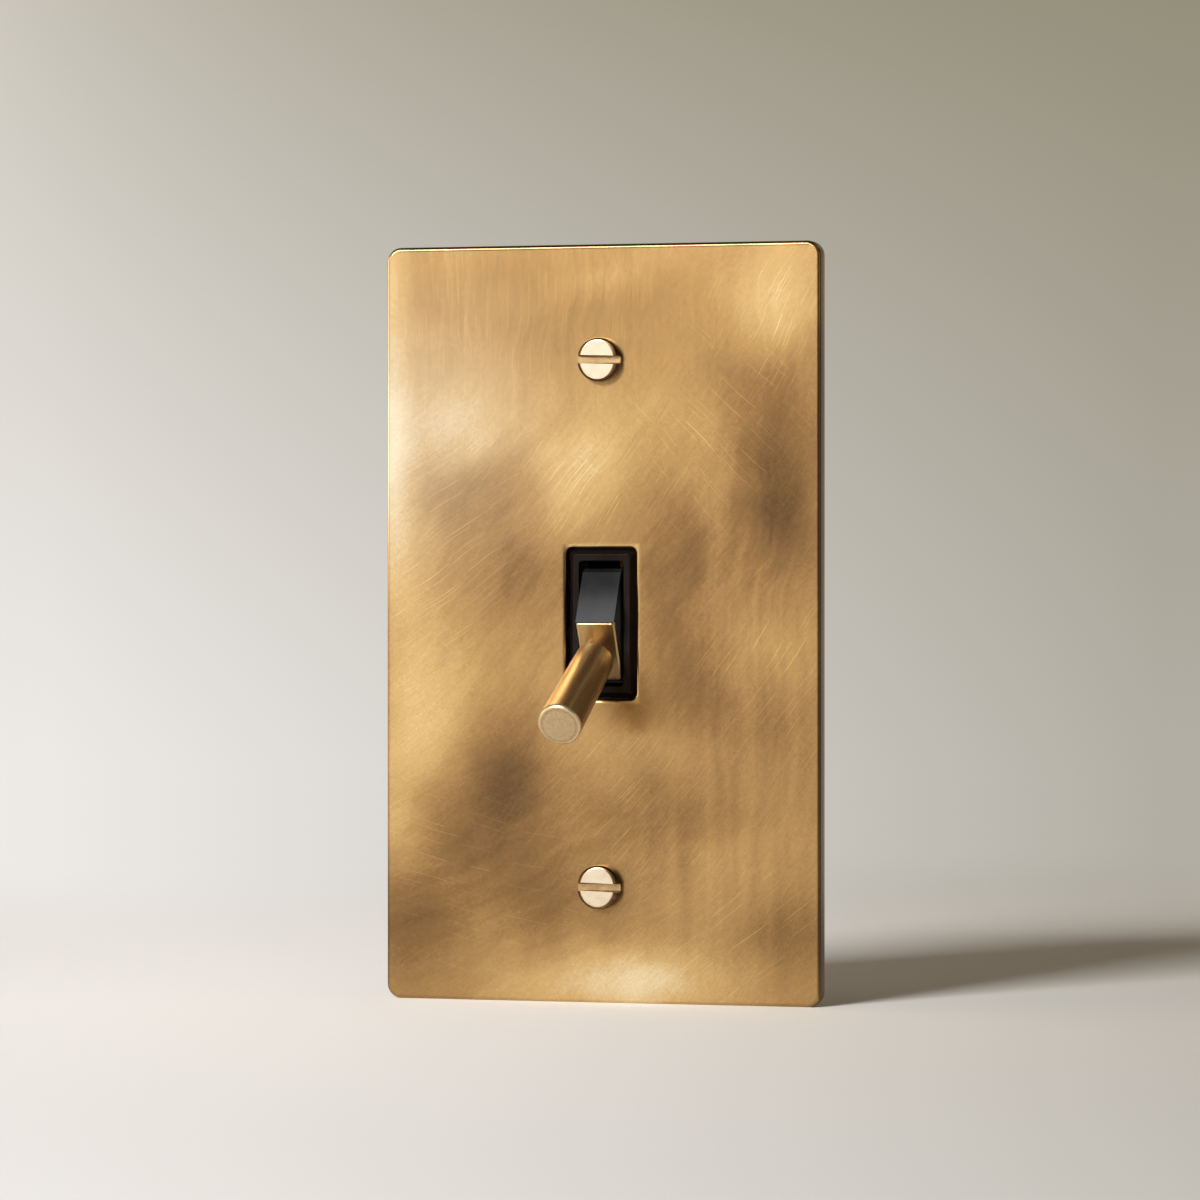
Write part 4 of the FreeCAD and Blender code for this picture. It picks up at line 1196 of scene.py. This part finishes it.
# %% The second screw is a copy
lower_screw = bpy.data.objects.new("lower_screw", screw.data.copy())
bpy.context.scene.collection.objects.link(lower_screw)
for piece, up in ((screw, SCREW_UP), (lower_screw, -SCREW_UP)):
    piece.data.transform(Matrix.Translation((0, 0, up * MM)))
    dress(piece, CAST, "screw_brass", "plate_screws")

# %% [markdown]
# ## The lever
#
# The lever is turned on a lathe: a narrow neck, a shoulder, and a rod that swells a little to its flat tip.
# Spinning half of its section copies what the lathe does. The rings at the shoulder and tip are then
# bevelled, and the whole is tipped about the pivot, as the switch rests with the lever down.

# %% The turned lever
NECK_RADIUS, ROOT_RADIUS, TIP_RADIUS, SPIGOT_RADIUS = 2.5, 3.1, 3.5, 1.5
SPIGOT_GAP = 3.35
SPIGOT_END = PIVOT[1] - SPIGOT_GAP
TIP_BEVEL, SHOULDER_BEVEL, NECK_BEVEL = 0.6, 0.5, 0.15
lever_section = [
    (0.0, LEVER_TIP),
    (TIP_RADIUS, LEVER_TIP),
    (ROOT_RADIUS, NECK_END),
    (NECK_RADIUS, NECK_END),
    (NECK_RADIUS, CAP_FACE),
    (SPIGOT_RADIUS, CAP_FACE),
    (SPIGOT_RADIUS, SPIGOT_END),
    (0.0, SPIGOT_END),
]
lever = turned_piece("turned_lever", lever_section, 80)
bevel_edges(lever, on_ring(TIP_RADIUS, LEVER_TIP), TIP_BEVEL, 6)
bevel_edges(lever, on_ring(ROOT_RADIUS, NECK_END), SHOULDER_BEVEL, 5)
bevel_edges(lever, on_ring(NECK_RADIUS, NECK_END), NECK_BEVEL, 3)
tipping = (
    Matrix.Translation(Vector(PIVOT) * MM)
    @ Matrix.Rotation(HALF_THROW, 4, "X")
    @ Matrix.Translation(Vector(PIVOT) * -MM)
)
lever.data.transform(tipping)
dress(lever, DOLLY, "lever_brass", "dolly_lever")

# %% [markdown]
# ## Mouldings and small stampings
#
# A moulded edge is never knife-sharp, and neither is a stamped one. For these pieces the frame's own form is
# right, so each is a merged copy of its node with a small bevel on every sharp edge.

# %% Softened copies
SHARP_ANGLE, FLAT_ANGLE = math.radians(28), math.radians(0.5)


def softened_copy(node, name, radius):
    """A merged copy of a CAD node whose sharp edges get a small radius."""
    piece = bpy.data.objects.new(name, nodes[node].data.copy())
    bpy.context.scene.collection.objects.link(piece)
    piece.data.materials.clear()
    start_edit(piece)
    bpy.ops.mesh.select_all(action="SELECT")
    bpy.ops.mesh.customdata_custom_splitnormals_clear()
    bpy.ops.mesh.remove_doubles(threshold=MERGE)
    bpy.ops.mesh.dissolve_limited(angle_limit=FLAT_ANGLE)
    end_edit()
    modifier = piece.modifiers.new("edge radius", "BEVEL")
    modifier.width = radius * MM
    modifier.segments = 2
    modifier.limit_method = "ANGLE"
    modifier.angle_limit = SHARP_ANGLE
    modifier.use_clamp_overlap = True
    apply_modifier(piece, modifier)
    return piece


# Each copy: its node, its name, the body it rides on, its finish and the radius of its edges.
SOFTENED = [
    ("front_cover", "moulded_cover", CAST, "black_moulding", 0.18),
    ("rocker", "moulded_rocker", DOLLY, "rocker_moulding", 0.16),
    ("dolly_cap", "brass_cap", DOLLY, "cap_brass", 0.07),
    ("rear_housing", "moulded_housing", CAST, "housing_moulding", 0.20),
    ("mounting_strap", "steel_strap", CAST, "zinc_steel", 0.12),
    ("terminal_clamps", "clamp_plates", CAST, "terminal_brass", 0.10),
    ("terminal_screws", "binding_screws", CAST, "terminal_screw_brass", 0.10),
    ("earth_screw", "green_earth_screw", CAST, "green_screw", 0.10),
    ("common_terminal", "common_stamping", CAST, "terminal_brass", 0.08),
    ("upper_terminal", "upper_stamping", CAST, "terminal_brass", 0.08),
    ("lower_terminal", "lower_stamping", CAST, "terminal_brass", 0.08),
]
for node, name, body, slot_name, radius in SOFTENED:
    dress(softened_copy(node, name, radius), body, slot_name, node)

# %% Finishes on the nodes that keep their own meshes
replaced_nodes = {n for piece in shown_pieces() for n in piece.get("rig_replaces", [])}
for row in frame["record"]["subparts"]:
    if row["node"] not in replaced_nodes:
        mesh = nodes[row["node"]].data
        mesh.materials.clear()
        mesh.materials.append(finish[row["material_slot"]])
        print(row["node"], "keeps its mesh and gets", row["material_slot"])

# %% [markdown]
# ## Stage
#
# A plain pale sweep runs from the floor up behind the switch, so no corner shows. It starts as a plane, its
# back edge is extruded upwards, and a wide bevel turns the corner into a cove. Near the switch the paper is
# lit and takes the shadow, with painted light that makes the floor paler on the left and darker towards the
# camera. Farther back it glows with a painted gradient of light, seen by the camera and in reflections, from
# pale on the left to olive at the upper right, because no single light would paint that gradient on a plain
# wall.

# %% The sweep behind and below the switch
FLOOR_UP = -60.0
SWEEP_SIZE = 6000.0
WALL_BACK = 1400.0
COVE_RADIUS = 500.0
WALL_TOP = 2600.0

bpy.ops.object.select_all(action="DESELECT")
bpy.ops.mesh.primitive_plane_add(
    size=SWEEP_SIZE * MM, location=(0, (WALL_BACK - SWEEP_SIZE / 2) * MM, FLOOR_UP * MM)
)
sweep = bpy.context.object
sweep.name = "studio_sweep"
bpy.ops.object.transform_apply(location=True, rotation=True, scale=True)
start_edit(sweep)
pick_edges(sweep, lambda a, b: min(a.y, b.y) > WALL_BACK - 1)
bpy.ops.mesh.extrude_region_move(TRANSFORM_OT_translate={"value": (0, 0, WALL_TOP * MM)})
end_edit()
bevel_edges(
    sweep, lambda a, b: min(a.y, b.y) > WALL_BACK - 1 and max(a.z, b.z) < FLOOR_UP + 1, COVE_RADIUS, 24
)
make_active(sweep)
bpy.ops.object.shade_smooth()
print("sweep with", len(sweep.data.polygons), "strips")

# %% The lit floor of the sweep
# Painted light on the floor: paler on the left, over a span across the view, and darker towards the camera.
FLOOR_SPAN, FLOOR_LEFT, FLOOR_RIGHT = (-90.0, 130.0), (0.937, 0.94, 0.942), (0.55, 0.545, 0.515)
NEAR_SPAN, NEAR_LIGHT = (-280.0, 60.0), (0.80, 1.0)
AWAY_SPAN, AWAY_LIGHT = (40.0, 300.0), (1.0, 1.06)
# Far back, the lit colour shows only in the light that bounces off the paper.
WALL_SPAN, WALL_COLOUR = (560.0, 950.0), (0.52, 0.44, 0.33)


def lit_paper(tree, side, back):
    """The colour of the paper as the key light falls on it, with painted light across and along the floor."""
    colour = mix_colour(tree, remap(tree, side, *FLOOR_SPAN, 0.0, 1.0), FLOOR_LEFT, FLOOR_RIGHT)
    light = remap(tree, back, *NEAR_SPAN, *NEAR_LIGHT)
    light = times(tree, light, remap(tree, back, *AWAY_SPAN, *AWAY_LIGHT))
    grey = add_node(tree, "ShaderNodeCombineColor", {0: light, 1: light, 2: light}).outputs[0]
    colour = mix_colour(tree, 1.0, colour, grey, "MULTIPLY")
    return mix_colour(tree, remap(tree, back, *WALL_SPAN, 0.0, 1.0), colour, WALL_COLOUR)


print("floor runs from", FLOOR_LEFT, "to", FLOOR_RIGHT)

# %% The painted gradient of light on the far paper
PAPER_ACROSS = (math.cos(CAMERA_YAW), math.sin(CAMERA_YAW), 0.0)
PAPER_AWAY = (-math.sin(CAMERA_YAW), math.cos(CAMERA_YAW), 0.0)
EYE_DISTANCE = CAMERA_PLACE.length / MM
LOW_SPAN, LOW_LEFT, LOW_RIGHT = (-232.0, 232.0), (0.85, 0.82, 0.79), (0.445, 0.425, 0.37)
# The upper colour fades to the right by the same share over each stretch of the fade length.
FADE_START, FADE_LENGTH, HIGH_LEFT, HIGH_RIGHT = 260.0, -200.0, (0.612, 0.577, 0.509), (0.26, 0.235, 0.155)
RISE_SPAN = (-58.0, 270.0)
# The gradient takes over nearer to the switch on the left than on the right, where the shadow lies.
FAR_STARTS, FAR_LENGTH = (20.0, 180.0), 330.0


def far_painted_light(tree, place, side, up):
    """The painted gradient of light, laid out as the camera sees it at the wall's distance."""
    away = vector_node(tree, "DOT_PRODUCT", {0: place, 1: PAPER_AWAY}, "Value")
    depth = add_up(tree, away, EYE_DISTANCE)
    spread = math_node(tree, "DIVIDE", times(tree, side, EYE_DISTANCE + WALL_BACK), depth)
    low = mix_colour(tree, remap(tree, spread, *LOW_SPAN, 0.0, 1.0, "LINEAR"), LOW_LEFT, LOW_RIGHT)
    fading = math_node(tree, "DIVIDE", add_up(tree, spread, FADE_START), FADE_LENGTH)
    high = mix_colour(tree, math_node(tree, "EXPONENT", fading), HIGH_RIGHT, HIGH_LEFT)
    return mix_colour(tree, remap(tree, up, *RISE_SPAN, 0.0, 1.0, "LINEAR"), low, high)


def backdrop_paper():
    """Warm pale paper, lit as a floor with painted light, whose far part glows with a painted gradient of
    light.
    """
    material, tree, shader = new_finish("backdrop_paper", Roughness=0.9)
    place = millimetre_coordinates(tree)
    parts = split(tree, place)
    side = vector_node(tree, "DOT_PRODUCT", {0: place, 1: PAPER_ACROSS}, "Value")
    tree.links.new(lit_paper(tree, side, parts["Y"]), shader.inputs["Base Color"])
    glow = add_node(tree, "ShaderNodeEmission", {"Color": far_painted_light(tree, place, side, parts["Z"])})
    path = tree.nodes.new("ShaderNodeLightPath").outputs
    seen = math_node(tree, "MAXIMUM", path["Is Camera Ray"], path["Is Glossy Ray"])
    seen = math_node(tree, "MAXIMUM", seen, path["Is Transmission Ray"])
    start = remap(tree, side, *FLOOR_SPAN, *FAR_STARTS)
    far = remap(tree, math_node(tree, "SUBTRACT", parts["Y"], start), 0.0, FAR_LENGTH, 0.0, 1.0)
    mixer = add_node(
        tree, "ShaderNodeMixShader", {0: times(tree, seen, far), 1: shader.outputs[0], 2: glow.outputs[0]}
    )
    tree.links.new(mixer.outputs[0], tree.nodes["Material Output"].inputs["Surface"])
    return material


sweep.data.materials.append(backdrop_paper())
print("paper gradient for an eye", round(EYE_DISTANCE), "mm away")

# %% [markdown]
# ## Light
#
# One large soft light from the front left, well above the switch, gives the shadow that falls to the right.
# The world is dim, with soft walls of light on the left, in front and above, and a narrow bright strip on
# either side, so that the turned brass shows bands of light and dark.

# %% Key light
KEY_TURN = math.radians(19.8)
KEY_RISE = math.radians(27.0)
KEY_DISTANCE = 2000 * MM
KEY_SIZE = 640 * MM
KEY_POWER = 58.5

toward_key = Vector(
    (
        -math.sin(KEY_TURN) * math.cos(KEY_RISE),
        -math.cos(KEY_TURN) * math.cos(KEY_RISE),
        math.sin(KEY_RISE),
    )
)
bpy.ops.object.light_add(type="AREA", location=toward_key * KEY_DISTANCE)
key = bpy.context.object
key.name = "key_light"
key.rotation_euler = (-toward_key).to_track_quat("-Z", "Y").to_euler()
key.data.shape = "SQUARE"
key.data.size = KEY_SIZE
key.data.energy = KEY_POWER
key.data.color = (1.0, 0.99, 0.98)
print("key light", KEY_POWER, "W at", KEY_DISTANCE, "m")

# %% World
WORLD_DIM, WORLD_SEEN = 0.065, 0.75
WORLD_COLOUR = (1.0, 0.85, 0.68, 1.0)
# Each soft wall of light: the way to it, how far it reaches as two cosines, and its strength.
LIGHT_WALLS = [
    ((-0.95, -0.30, 0.10), 0.72, 0.97, 0.45),
    ((-0.97, -0.22, 0.10), 0.95, 0.985, 2.6),
    ((0.96, -0.28, 0.05), 0.93, 0.98, 0.9),
    ((-0.28, -0.95, 0.0), 0.82, 0.98, 0.38),
    ((0.0, 0.0, 1.0), 0.30, 0.95, 0.10),
]

world = bpy.data.worlds.new("studio_world")
bpy.context.scene.world = world
world.use_nodes = True
tree = world.node_tree
background = tree.nodes["Background"]
looking = tree.nodes.new("ShaderNodeTexCoord").outputs["Generated"]
level = WORLD_DIM
for way, start, full, strength in LIGHT_WALLS:
    facing = vector_node(tree, "DOT_PRODUCT", {0: looking, 1: Vector(way).normalized()}, "Value")
    level = add_up(tree, remap(tree, facing, start, full, 0.0, strength), level)
on_camera = tree.nodes.new("ShaderNodeLightPath").outputs["Is Camera Ray"]
shown = remap(tree, on_camera, 0.0, 1.0, level, WORLD_SEEN, "LINEAR")
tree.links.new(shown, background.inputs["Strength"])
background.inputs["Color"].default_value = WORLD_COLOUR
bpy.context.scene.view_settings.view_transform = "Standard"
print("world of", WORLD_DIM, "with", len(LIGHT_WALLS), "soft walls of light")
